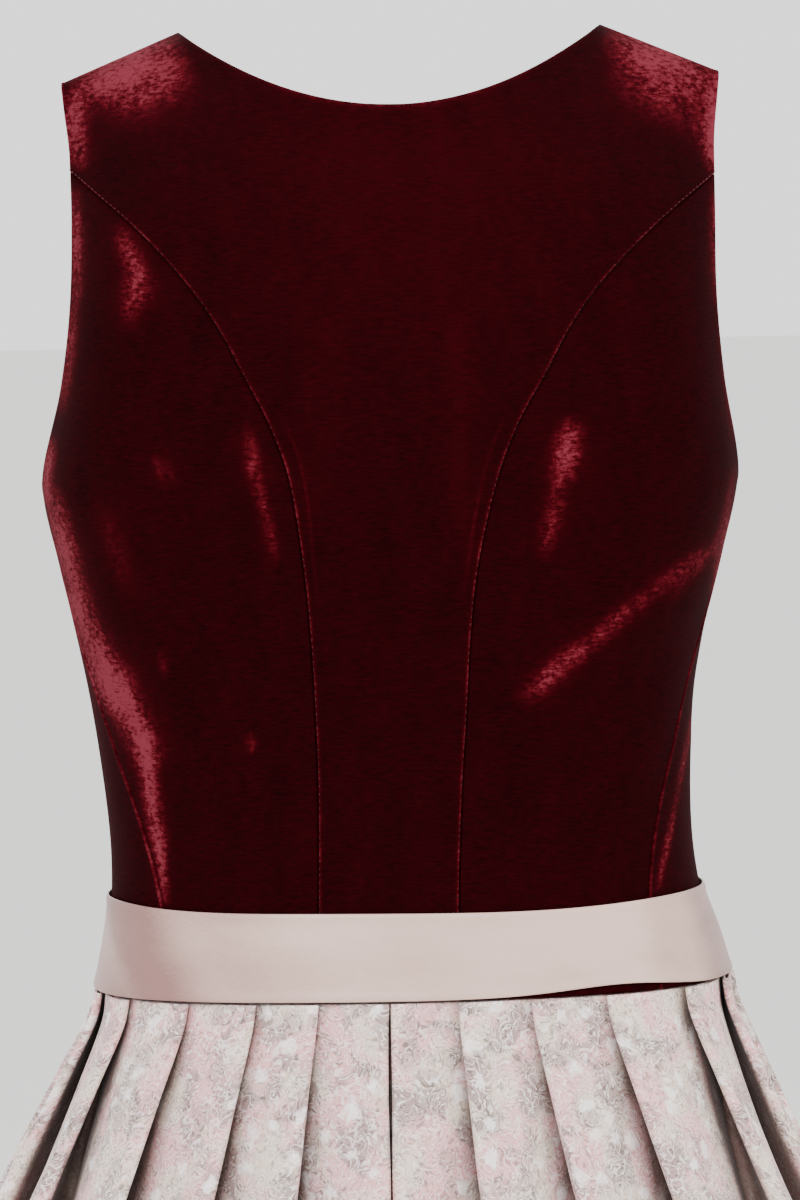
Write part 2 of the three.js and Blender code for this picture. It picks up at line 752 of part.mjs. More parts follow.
// One side of the skirt at a height: its section from the centre pleat to the centre front.
function skirtSection(row, pleats, total) {
  const widths = pleats.reduce((sum, p) => sum + p.width, 0);
  const scale = (total - row.centre / 2 - FRONT_BOX / 2) / widths;
  const lean = row.lean * DEGREE;
  const { bend } = row;
  const sections = pleats.map((p) => pleatSection(p.width * scale, p.width + 2 * p.depth, lean, bend));
  const first = sections[0].dip;
  const reach = row.centre / 2 - bend * (2 * Math.sin(lean) + Math.sin(first));
  const cloth = 2 * CENTRE_DEPTH - bend * (2 * lean + first);
  const rise = (cloth - reach) / (1 - Math.cos(lean));
  const floor = cloth - rise;
  const sink = bend * (1 - Math.cos(lean)) + rise * Math.sin(lean) + bend * (Math.cos(first) - Math.cos(lean));
  const { forward, fold, back } = PLEAT_STEPS;
  const walk = new Walk(0, -sink, 0);
  walk.straight(floor, forward);
  walk.fold(lean, bend, fold);
  walk.straight(rise, back);
  walk.fold(-first, bend, fold);
  sections.forEach((section, k) => {
    walk.at.heading = -section.dip;
    walk.straight(section.forward, forward);
    walk.fold(lean, bend, fold);
    walk.straight(section.back, back);
    walk.fold(k + 1 < sections.length ? -sections[k + 1].dip : 0, bend, fold);
  });
  walk.straight(total - walk.at.length, 2);
  walk.mark();
  return walk.points;
}

// The skirt's section at a height, all round: from the centre front on the wearer's right, past
// the centre back, to the centre front again. Each point has its outer and inner face. held is
// the share of the waist's rise that the ring follows.
function skirtLoop(row, z, held) {
  const sides = [-1, 1].map((side) => {
    const { total, place } = skirtOutline(row, side);
    const pleats = side > 0 ? PLEATS_LEFT : PLEATS_RIGHT;
    return skirtSection(row, pleats, total).map((point) => {
      const at = (out) => {
        const length = point.length - out * Math.sin(point.heading);
        const flat = place(length, point.out + out * Math.cos(point.heading));
        const across = Math.min(1, Math.max(-1, (flat.x - row.shift) / row.halfWidth));
        return new THREE.Vector3(flat.x, flat.y, z + waistRise(Math.asin(across) / DEGREE) * held);
      };
      return { outer: at(SKIRT_WALL / 2), inner: at(-SKIRT_WALL / 2) };
    });
  });
  return [...sides[0].reverse(), ...sides[1].slice(1)];
}

// A piece of the skirt between two points of the loop, which may pass the centre front.
function skirtPiece(loops, from, to) {
  const take = (face) =>
    loops.map((loop) => {
      const period = loop.length - 1;
      const points = [];
      for (let i = from; i <= to; i += 1) points.push(loop[i % period][face].clone());
      const shorten = (a, b) => a.lerp(b, SEAM_GAP / 2 / a.distanceTo(b));
      shorten(points[0], points[1]);
      shorten(points[points.length - 1], points[points.length - 2]);
      return points;
    });
  return wall(take("outer"), take("inner"));
}

function skirtPieces() {
  const loops = SKIRT.map((row) => {
    const top = WAIST_SEAM_Z - SKIRT_TOP_GAP;
    return skirtLoop(skirtRing(-row.z), top + row.z, 1 - ease(-row.z / WAIST_HOLD));
  });
  const { forward, fold, back } = PLEAT_STEPS;
  const unit = forward + 2 * fold + back;
  const half = (loops[0].length - 1) / 2;
  const seam = unit * (SEAM_PLEAT + 1) + forward + fold + 1; // halfway back out of the seam's pleat
  return {
    back: skirtPiece(loops, half - seam, half + seam),
    front: skirtPiece(loops, half + seam, 3 * half - seam),
  };
}

// Materials and the model

const velvet = new THREE.MeshStandardMaterial({ color: 0x4a0812, roughness: 0.85, metalness: 0 });
const satin = new THREE.MeshStandardMaterial({ color: 0xcdb9b2, roughness: 0.35, metalness: 0 });
const jacquard = new THREE.MeshStandardMaterial({ color: 0xd2c0b9, roughness: 0.6, metalness: 0 });
const silver = new THREE.MeshStandardMaterial({ color: 0x9a958c, roughness: 0.4, metalness: 1 });

const dress = new THREE.Group();

function add(name, geometry, material) {
  const mesh = new THREE.Mesh(geometry, material);
  mesh.name = name;
  dress.add(mesh);
}

add("back_centre", backCentre(), velvet);
add("back_side_left", backSide(1), velvet);
add("back_side_right", backSide(-1), velvet);
add("front_side_left", frontSide(1), velvet);
add("front_side_right", frontSide(-1), velvet);
add("front_left", frontPanel(1, true), velvet);
add("front_right", frontPanel(-1, false), velvet);
add("sash", sash(), satin);
for (let i = 0; i < BUTTON.count; i += 1) add(`button_${i + 1}`, button(BUTTON.first - i * BUTTON.pitch), silver);
const skirt = skirtPieces();
add("skirt_back", skirt.back, jacquard);
add("skirt_front", skirt.front, jacquard);

export default dress;
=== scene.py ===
"""Looks of a dirndl dress in its worn shape: velvet bodice, satin sash and pleated jacquard skirt.

Sizes are in millimetres in the tables and in metres on the objects. The axes are those of the
frame: +Z up, the wearer faces -Y, +X is the wearer's left, and the origin lies between the
shoulder ridges.
"""

import math

import bpy
import numpy as np
from mathutils import Matrix, Vector


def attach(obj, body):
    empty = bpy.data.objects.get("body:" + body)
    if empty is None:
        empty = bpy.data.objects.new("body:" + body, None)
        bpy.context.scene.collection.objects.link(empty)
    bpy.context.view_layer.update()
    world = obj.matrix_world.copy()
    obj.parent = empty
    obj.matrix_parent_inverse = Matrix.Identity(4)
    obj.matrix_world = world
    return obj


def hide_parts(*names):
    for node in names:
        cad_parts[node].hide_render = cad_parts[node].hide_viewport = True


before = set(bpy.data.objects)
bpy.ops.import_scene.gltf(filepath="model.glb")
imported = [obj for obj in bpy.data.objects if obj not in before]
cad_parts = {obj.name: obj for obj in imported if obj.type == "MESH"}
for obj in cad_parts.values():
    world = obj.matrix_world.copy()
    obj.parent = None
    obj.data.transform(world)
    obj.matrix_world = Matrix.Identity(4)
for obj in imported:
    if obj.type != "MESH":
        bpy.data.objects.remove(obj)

bl_info = {
    "name": "Dirndl dress",
    "version": (1, 0, 0),
    "blender": (4, 5, 0),
    "location": "View3D > Sidebar > Dress",
    "description": "Builds a dirndl dress with a velvet bodice, a satin sash and a pleated skirt",
    "category": "Add Mesh",
}

MM = 0.001

# Sizes shared with the solids

SEAM_GAP = 0.3
WAIST_SEAM_Z = -405
WAIST_RISE = {"left": -1.2, "right": 1}
SHOULDER_X = 120
SHOULDER_FALL = 0.412
NECK_X = 92.2
ARM_X = 144.3
BACK_NECK = {"low": -20.2, "rise": 0.0039}
FRONT_NECK = {"low": -128, "power": 2.7}
BUST = {"x": 80, "z": -212, "proud": 27, "wide": 44, "tall": 58}
BACK_SEAM_TOP = {"left": -47, "right": -53}
FRONT_SEAM_TOP_Z = -92
TOP_POWER = {"back": 4.5, "front": 6}
ARMHOLE = {"low": -181, "round": -100, "ridge": 15.9, "back": 18.5, "front": 27}
ARMHOLE_EASE = {"back": 32, "front": 75}
LAP = {"half": 10, "sink": 1.9, "flat": 13, "eased": 28}
BUTTON = {"height": 4.2, "first": -143, "pitch": 36, "count": 6, "gap": 0.45}
SASH = {"top": -368, "rise": 3.2, "gap": 0.85, "start": 152, "lap": 13, "ease": 9}
SASH_RIDE = {"angle": -37, "wide": 17, "lift": 3.6}
SKIRT_TOP_GAP = 0.8
WAIST_HOLD = 200
CENTRE_DEPTH = 26
FRONT_BOX = 44
SEAM_PLEAT = 5

FORM_COLUMNS = ("z", "half_width", "back", "front", "shift", "lift", "square")
FORM = [
    (-408, 139.8, 86, 92, -2.9, 0, 0.03),
    (-387, 134, 82, 90, -2, 0, 0.03),
    (-368, 130, 79, 88.5, -0.2, 0, 0.03),
    (-341, 128.2, 78, 88, 1.5, 0, 0.03),
    (-306, 130, 80, 91, 3.2, 0, 0.03),
    (-271, 134.1, 85, 97, 4.4, 0, 0.035),
    (-218, 145.7, 92, 105, 3.7, 0, 0.04),
    (-183, 152.6, 96, 107, 3.2, 0, 0.045),
    (-140, 147.6, 98, 103, 1.4, 0, 0.05),
    (-100, 145, 96, 95, 0.3, 0.05, 0.045),
    (-66, 145.6, 87, 82, -0.3, 0.16, 0.03),
    (-38, 147, 69, 62, -0.2, 0.28, 0.015),
    (-16.5, 148.5, 45, 41, 0, 0.36, 0.005),
    (-4, 149.5, 23, 21, 0, 0.4, 0),
    (1.4, 150, 0, 0, 0, SHOULDER_FALL, 0),
]

BACK_SEAM_COLUMNS = ("z", "x", "drift")
BACK_SEAM = [
    (-408, 31, 7.5),
    (-367, 30.4, 7.4),
    (-316, 31.1, 5.8),
    (-281, 32.7, 4.7),
    (-245, 34.7, 4.2),
    (-216, 37.8, 3.5),
    (-178, 45.3, 1.6),
    (-155, 54, 0.9),
    (-137, 63.7, 0.1),
    (-115, 75.5, -0.4),
    (-96, 89.2, -1.1),
    (-74, 110.1, -2.3),
    (-53, 135.5, -3.5),
    (-47, 143.2, -3.8),
]

SIDE_SEAM_COLUMNS = ("z", "angle")
SIDE_SEAM = [
    (-408, 46), (-368, 50.5), (-340, 55.5), (-320, 60),
    (-300, 65.5), (-276, 71.5), (-240, 80), (-181, 90),
]

FRONT_SEAM_COLUMNS = ("z", "x")
FRONT_SEAM = [
    (-408, 62), (-368, 60), (-310, 65), (-260, 72),
    (-212, 82), (-168, 95), (-128, 112), (-92, 134),
]

SKIRT_COLUMNS = ("drop", "half_width", "back", "front", "shift", "turn", "lean", "bend", "centre")
SKIRT = [
    (0, 141.4, 87, 93, -2.9, 3.8, 172, 1.15, 4.1),
    (12, 144.3, 90, 96, -2.5, 3.7, 169, 1.5, 5.6),
    (38, 156.9, 101, 107, -0.9, 2.95, 161, 2.3, 8.4),
    (80, 177.7, 121, 127, 1, 2.1, 148, 3.8, 12.8),
    (145, 209, 151, 158, 0.8, 2, 127, 6.5, 27),
    (235, 246, 189, 197, 0.5, 1.9, 104, 9, 44),
    (345, 285, 229, 238, 0, 1.8, 87, 12, 58),
    (475, 321, 263, 273, 0, 1.7, 75, 14, 66),
    (618, 350, 288, 299, 0, 1.6, 66, 16, 72),
]

PLEAT_COLUMNS = ("width", "depth")
PLEATS_LEFT = [
    (31, 36), (28, 38), (32, 35), (35, 39), (33, 36), (32, 38),
    (31, 37), (33, 35), (32, 38), (31, 36), (32, 37),
]
PLEATS_RIGHT = [
    (28.5, 37), (31, 36), (33, 39), (40, 38), (34, 35), (32, 37),
    (31, 38), (32, 36), (33, 37), (31, 35), (32, 37),
]

# Creases of the bodice, as ridges (proud above 0) or troughs between two points of the back or
# front, seen from that side, with x towards the wearer's left

CREASE_COLUMNS = ("x0", "z0", "x1", "z1", "wide", "proud")
BACK_CREASES = [
    (-128, -225, -52, -282, 9, 1.2),
    (-132, -246, -70, -300, 8, -0.9),
    (-120, -300, -66, -330, 7, 0.7),
    (128, -232, 84, -276, 8, 0.8),
    (122, -300, 70, -318, 8, -0.7),
    (120, -340, 46, -352, 5, 0.6),
    (-118, -345, -40, -356, 5, 0.6),
    (30, -362, -26, -358, 5, -0.5),
    (62, -120, 40, -190, 10, -0.7),
    (-60, -118, -38, -186, 10, -0.7),
    (112, -60, 60, -40, 9, 0.6),
    (-112, -58, -58, -42, 9, 0.6),
    (136, -150, 112, -186, 8, 0.9),
    (-134, -146, -108, -190, 8, 0.9),
]
FRONT_CREASES = [
    (128, -226, 60, -290, 9, 1.0),
    (-126, -232, -64, -296, 9, 1.0),
    (120, -330, 50, -348, 6, 0.7),
    (-120, -336, -46, -352, 6, 0.7),
    (104, -140, 90, -190, 8, -0.8),
    (-104, -136, -92, -188, 8, -0.8),
]

# Where the pile is brushed: strokes of painted sheen that lighten the velvet's colour, and broad strokes
# of painted light over the upper back and down its middle

# A stroke of painted sheen fades out into a weaker and wider one, unless it is wide already
HALO = {"strength": 0.22, "wide": 2.3, "unless": 30}
PILE_SHEEN_SHARE = 0.8
PILE_SHEEN_COLUMNS = ("x0", "z0", "x1", "z1", "wide", "strength")
BACK_PILE_SHEEN = [
    (136, -12, 94, 7, 9, 0.75),
    (122, -20, 86, -4, 11, 0.35),
    (139, -14, 135, -45, 4, 0.75),
    (-97, 7, -140, -13, 9, 0.7),
    (-99, -8, -134, -30, 10, 0.3),
    (-141, -13, -140, -52, 3, 0.8),
    (-134, -30, -139, -49, 3.5, 0.4),
    (138, -55, 137, -98, 3.6, 0.6),
    (138, -98, 145, -150, 3.4, 0.5),
    (-139, -58, -139, -107, 2.2, 0.45),
    (-140, -108, -147, -169, 2.2, 0.35),
    (118, -71, 104, -102, 5, 0.5),
    (112, -93, 114, -114, 4.5, 0.35),
    (150, -163, 155, -191, 3, 0.7),
    (150, -187, 140, -237, 5, 0.85),
    (143, -233, 123, -276, 7, 0.8),
    (128, -263, 108, -302, 6.5, 0.75),
    (113, -293, 106, -341, 3.6, 0.7),
    (107, -332, 104, -363, 2, 0.75),
    (105, -168, 96, -181, 4, 0.3),
    (128, -188, 116, -227, 6, 0.22),
    (64, -159, 58, -190, 2.8, 0.5),
    (58, -188, 53, -214, 2.2, 0.45),
    (-75, -157, -70, -182, 4.6, 0.75),
    (-69, -182, -62, -214, 4, 0.5),
    (-130, -216, -103, -236, 3.2, 0.4),
    (-103, -235, -75, -258, 3.8, 0.5),
    (-76, -255, -52, -276, 4.6, 0.55),
    (-147, -182, -137, -236, 2.8, 0.45),
    (-145, -206, -116, -236, 2.8, 0.25),
    (-128, -287, -119, -325, 1.6, 0.45),
    (-119, -325, -109, -364, 1.4, 0.55),
    (-25, -112, -27, -215, 7, 0.12),
    (28, -116, 33, -197, 11, 0.08),
    (66, -290, 64, -297, 2.6, 0.35),
    (103, -253, 101, -263, 2.2, 0.3),
    (82, -39, -89, -46, 40, 0.13),
    (61, -94, -70, -96, 40, 0.09),
]
FRONT_PILE_SHEEN = [
    (142, -14, 100, 6, 13, 0.7),
    (-142, -12, -100, 6, 13, 0.7),
    (86, -205, 60, -300, 12, 0.5),
    (-86, -205, -60, -300, 12, 0.5),
    (128, -150, 140, -210, 8, 0.5),
    (-128, -150, -140, -210, 8, 0.5),
    (30, -150, 24, -250, 8, 0.25),
]

# Soft folds of the sash: angle round the waist, height, lean across the band, and width

SASH_FOLD_COLUMNS = ("angle", "z", "slope", "wide", "proud")
SASH_FOLDS = [
    (58, -392, 1.6, 9, 0.9),
    (44, -380, -0.9, 8, -0.7),
    (-49, -392, -1.4, 7, -1.0),
    (-58, -384, -0.6, 8, 0.8),
    (20, -398, 0.2, 10, 0.4),
    (-12, -378, 0.15, 12, -0.35),
    (100, -388, 0.5, 9, 0.7),
    (-96, -386, -0.5, 9, 0.7),
    (165, -390, 0.3, 9, 0.5),
    (-150, -384, -0.3, 9, -0.5),
]

# Where the satin turns away from the light: the angles between which it does so, how far the place
# moves for each millimetre up the band, and how much darker it gets

SASH_TONE_COLUMNS = ("from_angle", "to_angle", "slope", "strength")
SASH_TONES = [
    (14, 34, 0.1, 0.25),
    (36, 54, 0.35, 0.6),
    (62, 74, 0.9, -0.25),
    (-22, -34, 0.1, -0.2),
    (-40, -52, -0.05, 0.35),
    (-58, -72, -0.05, 0.45),
]

# Dents and swells of the skirt's cloth: pleat (negative on the wearer's right), how far across
# its visible part, drop of the upper and the lower end, width and height

SWELL_COLUMNS = ("pleat", "across", "from_drop", "to_drop", "wide", "proud")
SWELLS = [
    (1, 0.55, 14, 120, 9, 1.4),
    (2, 0.45, 20, 150, 9, 1.6),
    (3, 0.62, 10, 130, 8, -1.8),
    (4, 0.4, 16, 120, 10, 2.0),
    (5, 0.6, 10, 90, 8, -1.6),
    (7, 0.5, 14, 140, 9, 1.6),
    (9, 0.55, 12, 110, 9, -1.5),
    (-1, 0.5, 12, 90, 8, 1.5),
    (-2, 0.35, 18, 60, 6, -2.2),
    (-2, 0.7, 24, 120, 8, 2.0),
    (-3, 0.55, 14, 70, 9, 2.4),
    (-3, 0.25, 30, 90, 6, -2.2),
    (-4, 0.5, 16, 80, 9, 2.2),
    (-5, 0.3, 18, 70, 7, -2.0),
    (-7, 0.5, 14, 120, 9, 1.6),
    (-9, 0.55, 16, 110, 9, -1.4),
]

# Finish of the edges: heights (proud) and widths in millimetres, and the painted sheen of the pile.
# A finished edge is rolled. A raised one lies over the turnings of its seam, whose edge shows
# through as a faint line. Both the raised edge and that line get a painted highlight. A sunk one dips
# beside it. The stitches pull both into small waves.

FINISHED = {"at": 4, "wide": 3, "proud": 0.35, "pile_sheen": 0.25, "sheen_wide": 2.2}
SUNK = {"low": 0.3, "high": 0.85, "from_z": -215, "over": 80, "wave": 0.08, "wide": 1.3, "fade": 9}
RAISED = {"at": 0.9, "wide": 0.9, "proud": 0.32, "groove": 0.3, "groove_wide": 0.35}
RAISED_PILE_SHEEN = {"at": 0.6, "wide": 0.95, "strength": 0.3, "wave": 0.08}
TURNING = {"low": 7.4, "high": 4.6, "from_z": -160, "over": 70, "proud": 0.45, "wide": 1.2}
TURNING_PILE_SHEEN = {"strength": 0.16, "wide": 0.9}
TURNING_SHOWN = {"top_z": -146, "top_over": 14, "low_z": -246, "low_over": 34}
CREASE_FADE = 14
SASH_CROWN = 0.5
SASH_SAG = {"height": 1.1, "waves": 5, "phase": 40, "wide": 75, "share": 0.45}
SASH_EDGES = ((0.95, 0.35), (0.05, 0.3))
SKIRT_BILLOW = {"from_drop": 60, "over": 300, "proud": 1.1}
FOLD_SHADE = {"floor_top": 0.95, "floor_low": 0.55, "far": 0.8}

# Stitches, and the studio: place, aim, width, power and colour of each light

HEM_STITCH_DROPS = (594.0, 594.5)
STITCH_PROUD = {"seam": 0.16, "hem": 0.52, "beside": 0.75}
FLOOR_Z, FLOOR_HALF = -1.075, 30
WORLD = {"colour": "#f4f4f4", "strength": 1.85}
LIGHTS = {
    "key": ((0.5, 2.6, 1.3), (0, 0, -0.35), 1.0, 62, "#fff1f1"),
    "fill": ((-2.2, 1.6, 1.4), (0, 0, -0.3), 1.6, 26, "#fff0dc"),
    "front": ((0.6, -3.0, 1.2), (0, 0, -0.4), 2.0, 30, "#ffffff"),
}
CAMERA = {"eye": (0, 3.0, -0.030), "aim": (0, 0, -0.238), "seen": 0.528, "roll": -1.1, "sensor": 36}


# Numbers and tables


def mix(a, b, t):
    return a + (b - a) * t


def ease(t):
    s = np.clip(t, 0, 1)
    return s * s * (3 - 2 * s)


def bell(distance, wide):
    """1 in the middle of a soft stroke, falling off over its width."""
    return np.exp(-((distance / wide) ** 2))


def rounded(distance, half):
    """The share of half a thickness that is left near an edge, so that the edge is round."""
    return np.sqrt(np.clip(1 - (1 - np.clip(distance / half, 0, 1)) ** 2, 0.04, 1))


def records(columns, rows):
    """The rows of a table as dictionaries by column name."""
    return [dict(zip(columns, row)) for row in rows]


class Table:
    """A smooth curve through the rows of a table, by its first column."""

    def __init__(self, columns, rows):
        self.names = columns
        self.values = dict(zip(columns, np.array(rows, float).T))
        keys = self.values[columns[0]]
        before = np.maximum(np.arange(len(keys)) - 1, 0)
        after = np.minimum(np.arange(len(keys)) + 1, len(keys) - 1)
        self.keys = keys
        self.slopes = {
            name: (column[after] - column[before]) / (keys[after] - keys[before])
            for name, column in self.values.items()
        }

    def at(self, where, name):
        where = np.asarray(where, float)
        i = np.clip(np.searchsorted(self.keys, where, side="left") - 1, 0, len(self.keys) - 2)
        span = self.keys[i + 1] - self.keys[i]
        t = np.clip((where - self.keys[i]) / span, 0, 1)
        column, slope = self.values[name], self.slopes[name]
        start = column[i] * (1 + 2 * t) * (1 - t) ** 2 + column[i + 1] * t * t * (3 - 2 * t)
        turn = slope[i] * t * (1 - t) ** 2 - slope[i + 1] * t * t * (1 - t)
        return start + turn * span


def solve(rising, target, low, high):
    """The arguments between low and high where a rising function reaches the targets."""
    a = np.broadcast_to(np.asarray(low, float), np.shape(target)).copy()
    b = np.broadcast_to(np.asarray(high, float), np.shape(target)).copy()
    for _ in range(42):
        middle = (a + b) / 2
        under = rising(middle) < target
        a = np.where(under, middle, a)
        b = np.where(under, b, middle)
    return (a + b) / 2


# The form, as in the solids: an angle round it and a level up it give a point


def with_levels(rows):
    level = 0
    found = []
    for i, row in enumerate(rows):
        if i:
            level += math.hypot(row[0] - rows[i - 1][0], row[2] - rows[i - 1][2])
        found.append((level, *row))
    return found


LEVELLED = with_levels(FORM)
TOP_LEVEL = LEVELLED[-1][0]
FORM_TABLE = Table(("level", *FORM_COLUMNS), LEVELLED)


def outline(angle, square):
    across = (np.sin(angle) + square * np.sin(3 * angle)) / (1 - square)
    along = (np.cos(angle) - square * np.cos(3 * angle)) / (1 - square)
    return across, along


def form_point(degrees, level):
    ring = {name: FORM_TABLE.at(level, name) for name in FORM_COLUMNS}
    across, along = outline(np.radians(degrees), ring["square"])
    x = ring["shift"] + ring["half_width"] * across
    z = ring["z"] - ring["lift"] * (np.abs(x) - SHOULDER_X)
    sideways = (np.abs(x) - BUST["x"]) / BUST["wide"]
    upright = (z - BUST["z"]) / BUST["tall"]
    bust = BUST["proud"] * ease(-1.6 * along) * np.exp(-(sideways**2) - upright**2)
    y = np.where(along > 0, ring["back"], ring["front"]) * along - bust
    return np.stack([x, y, z], axis=-1)


def form_normal(degrees, level):
    around = form_point(degrees + 0.5, level) - form_point(degrees - 0.5, level)
    above, below = np.minimum(TOP_LEVEL, level + 0.5), np.maximum(0, level - 0.5)
    normal = np.cross(form_point(degrees, above) - form_point(degrees, below), around)
    normal[..., 1] = np.where(level > TOP_LEVEL - 1, 0, normal[..., 1])
    return normal / np.linalg.norm(normal, axis=-1, keepdims=True)


def waist_rise(degrees):
    across = np.sin(np.radians(degrees))
    return across * across * np.where(across > 0, WAIST_RISE["left"], WAIST_RISE["right"])


def waist_z(degrees):
    return WAIST_SEAM_Z + waist_rise(degrees)


def level_at(degrees, z):
    return solve(lambda level: form_point(degrees, level)[..., 2], z, 0, TOP_LEVEL)


def at_height(degrees, z):
    degrees, z = np.broadcast_arrays(np.asarray(degrees, float), np.asarray(z, float))
    return np.stack([degrees, level_at(degrees, z)], axis=-1)


def points_of(places):
    return form_point(places[..., 0], places[..., 1])


def across_face(side, x, z, is_front):
    """Places on the back or the front at a distance x towards a side, at height z."""
    x, z = np.broadcast_arrays(np.asarray(x, float), np.asarray(z, float))

    def angle_of(turn):
        return side * (180 - turn if is_front else turn)

    def across(turn):
        angle = angle_of(turn)
        return side * form_point(angle, level_at(angle, z))[..., 0]

    return at_height(angle_of(solve(across, x, -25, 89)), z)


def evenly(curve, steps):
    """A curve's places, evenly spaced along the cloth. The curve takes an array of 0 to 1."""
    fine = curve(np.linspace(0, 1, 161))
    points = points_of(fine)
    lengths = np.concatenate([[0], np.cumsum(np.linalg.norm(np.diff(points, axis=0), axis=1))])
    wanted = np.linspace(0, lengths[-1], steps + 1)
    return np.stack([np.interp(wanted, lengths, fine[:, k]) for k in (0, 1)], axis=-1)


# Seam and edge lines, for side 1 (the wearer's left) or -1


def opening(z, is_front):
    widest = ARMHOLE["front" if is_front else "back"]
    depth = ARMHOLE_EASE["front" if is_front else "back"]
    ridge_z = -SHOULDER_FALL * (ARM_X - SHOULDER_X)
    full = mix(ARMHOLE["ridge"], widest, ease((ridge_z - z) / depth))
    down = np.maximum(0, (z - ARMHOLE["round"]) / (ARMHOLE["low"] - ARMHOLE["round"]))
    return full * np.sqrt(np.maximum(0, 1 - down * down))


def armhole(side, z, is_front):
    turned = opening(z, True) if is_front else -opening(z, False)
    return at_height(side * (90 + turned), z)


def armhole_line(side, to_z, is_front):
    reach = to_z - ARMHOLE["low"]
    return lambda t: armhole(side, ARMHOLE["low"] + reach * (1 - np.cos(t * math.pi / 2)), is_front)


def ridge_place(side, x, is_front):
    def across(angle):
        return form_point(angle, np.full(np.shape(angle), TOP_LEVEL))[..., 0]

    turn = float(solve(across, np.array(x, float), 0, 90))
    return np.array([side * (180 - turn if is_front else turn), TOP_LEVEL])


def up_to_ridge(side, from_z, is_front):
    start = armhole(side, from_z, is_front)
    corner = ridge_place(side, ARM_X, is_front)

    def line(t):
        level = mix(start[1], corner[1], t)

        def angle_there(angle):
            z = form_point(angle, level)[..., 2]
            return side * (90 + (opening(z, True) if is_front else -opening(z, False)))

        angle = angle_there(angle_there(np.full(t.shape, start[0])))
        return np.stack([mix(angle, corner[0], ease((t - 0.6) / 0.4)), level], axis=-1)

    return line


BACK_SEAM_TABLE = Table(BACK_SEAM_COLUMNS, BACK_SEAM)
SIDE_SEAM_TABLE = Table(SIDE_SEAM_COLUMNS, SIDE_SEAM)
FRONT_SEAM_TABLE = Table(FRONT_SEAM_COLUMNS, FRONT_SEAM)


def back_seam_top(side):
    return BACK_SEAM_TOP["left" if side > 0 else "right"]


def back_seam(side):
    top_z = back_seam_top(side)
    edge = points_of(armhole(side, top_z, False))
    miss = side * (edge[0] - BACK_SEAM_TABLE.at(top_z, "drift")) - BACK_SEAM_TABLE.at(top_z, "x")

    def at(t, z):
        x = BACK_SEAM_TABLE.at(z, "x") + miss * ease((t - 0.85) / 0.15)
        return across_face(side, x + side * BACK_SEAM_TABLE.at(z, "drift"), z, False)

    start = waist_z(at(0, WAIST_SEAM_Z)[0])
    return lambda t: at(t, mix(start, top_z, t))


def side_seam(side):
    start = waist_z(side * SIDE_SEAM_TABLE.at(WAIST_SEAM_Z, "angle"))

    def line(t):
        z = mix(start, ARMHOLE["low"], t)
        return at_height(side * SIDE_SEAM_TABLE.at(z, "angle"), z)

    return line


def front_seam(side):
    edge = points_of(armhole(side, FRONT_SEAM_TOP_Z, True))
    miss = side * edge[0] - FRONT_SEAM_TABLE.at(FRONT_SEAM_TOP_Z, "x")

    def at(t, z):
        return across_face(side, FRONT_SEAM_TABLE.at(z, "x") + miss * ease((t - 0.8) / 0.2), z, True)

    start = waist_z(at(0, WAIST_SEAM_Z)[0])
    return lambda t: at(t, mix(start, FRONT_SEAM_TOP_Z, t))


def front_neck_z(x):
    top = -SHOULDER_FALL * (NECK_X - SHOULDER_X)
    return mix(FRONT_NECK["low"], top, np.minimum(1, np.abs(x) / NECK_X) ** FRONT_NECK["power"])


def straight(a, b):
    return lambda t: np.stack([mix(a[0], b[0], t), mix(a[1], b[1], t)], axis=-1)


def back_top(columns, shoulder):
    right, left = ridge_place(-1, ARM_X, False), ridge_place(1, ARM_X, False)
    neck_right, neck_left = ridge_place(-1, NECK_X, False), ridge_place(1, NECK_X, False)

    def line(t):
        x = mix(-NECK_X, NECK_X, t)
        places = across_face(1, np.abs(x), BACK_NECK["low"] + BACK_NECK["rise"] * x * x, False)
        places[..., 0] *= np.where(x < 0, -1, 1)
        places[0], places[-1] = neck_right, neck_left
        return places

    neck = evenly(line, columns - 2 * shoulder)
    ridges = (evenly(straight(*ends), shoulder) for ends in ((right, neck_right), (neck_left, left)))
    return np.concatenate([next(ridges), neck[1:-1], next(ridges)])


def front_top(side, from_x, columns, shoulder):
    neck_point = ridge_place(side, NECK_X, True)

    def line(t):
        x = mix(from_x, NECK_X, t)
        places = across_face(side, x, front_neck_z(x), True)
        places[-1] = neck_point
        return places

    ridge = evenly(straight(neck_point, ridge_place(side, ARM_X, True)), shoulder)
    return np.concatenate([evenly(line, columns - shoulder), ridge[1:]])


# Grids and shells


def patch(left, right, bottom, top, power=1):
    """A grid of places between four edge lines. left and right run upwards.

    With a higher power the shape of the top is felt less far down, so that the columns under a
    low neckline don't turn over.
    """
    v = np.linspace(0, 1, len(left))[:, None, None] ** power
    u = np.linspace(0, 1, len(bottom))[None, :, None]
    sides = mix(left[:, None], right[:, None], u)
    ends = mix(bottom[None], top[None], v)
    corners = mix(mix(bottom[0], bottom[-1], u), mix(top[0], top[-1], u), v)
    return sides + ends - corners


def sampled(grid, axis, where):
    """The grid taken again at the given fractional indexes along an axis."""
    where = np.asarray(where, float)
    low = np.clip(np.floor(where).astype(int), 0, grid.shape[axis] - 2)
    share = (where - low).reshape([-1 if k == axis else 1 for k in range(grid.ndim)])
    return mix(np.take(grid, low, axis=axis), np.take(grid, low + 1, axis=axis), share)


EDGE_STEPS = (0, 0.05, 0.13, 0.26, 0.45, 0.7)


def with_edges(grid, axis):
    """Adds close lines along both edges, so that an edge can be rounded."""
    last = grid.shape[axis] - 1
    inner = np.arange(1, last)
    return sampled(grid, axis, [*EDGE_STEPS, *inner, *(last - np.array(EDGE_STEPS[::-1]))])


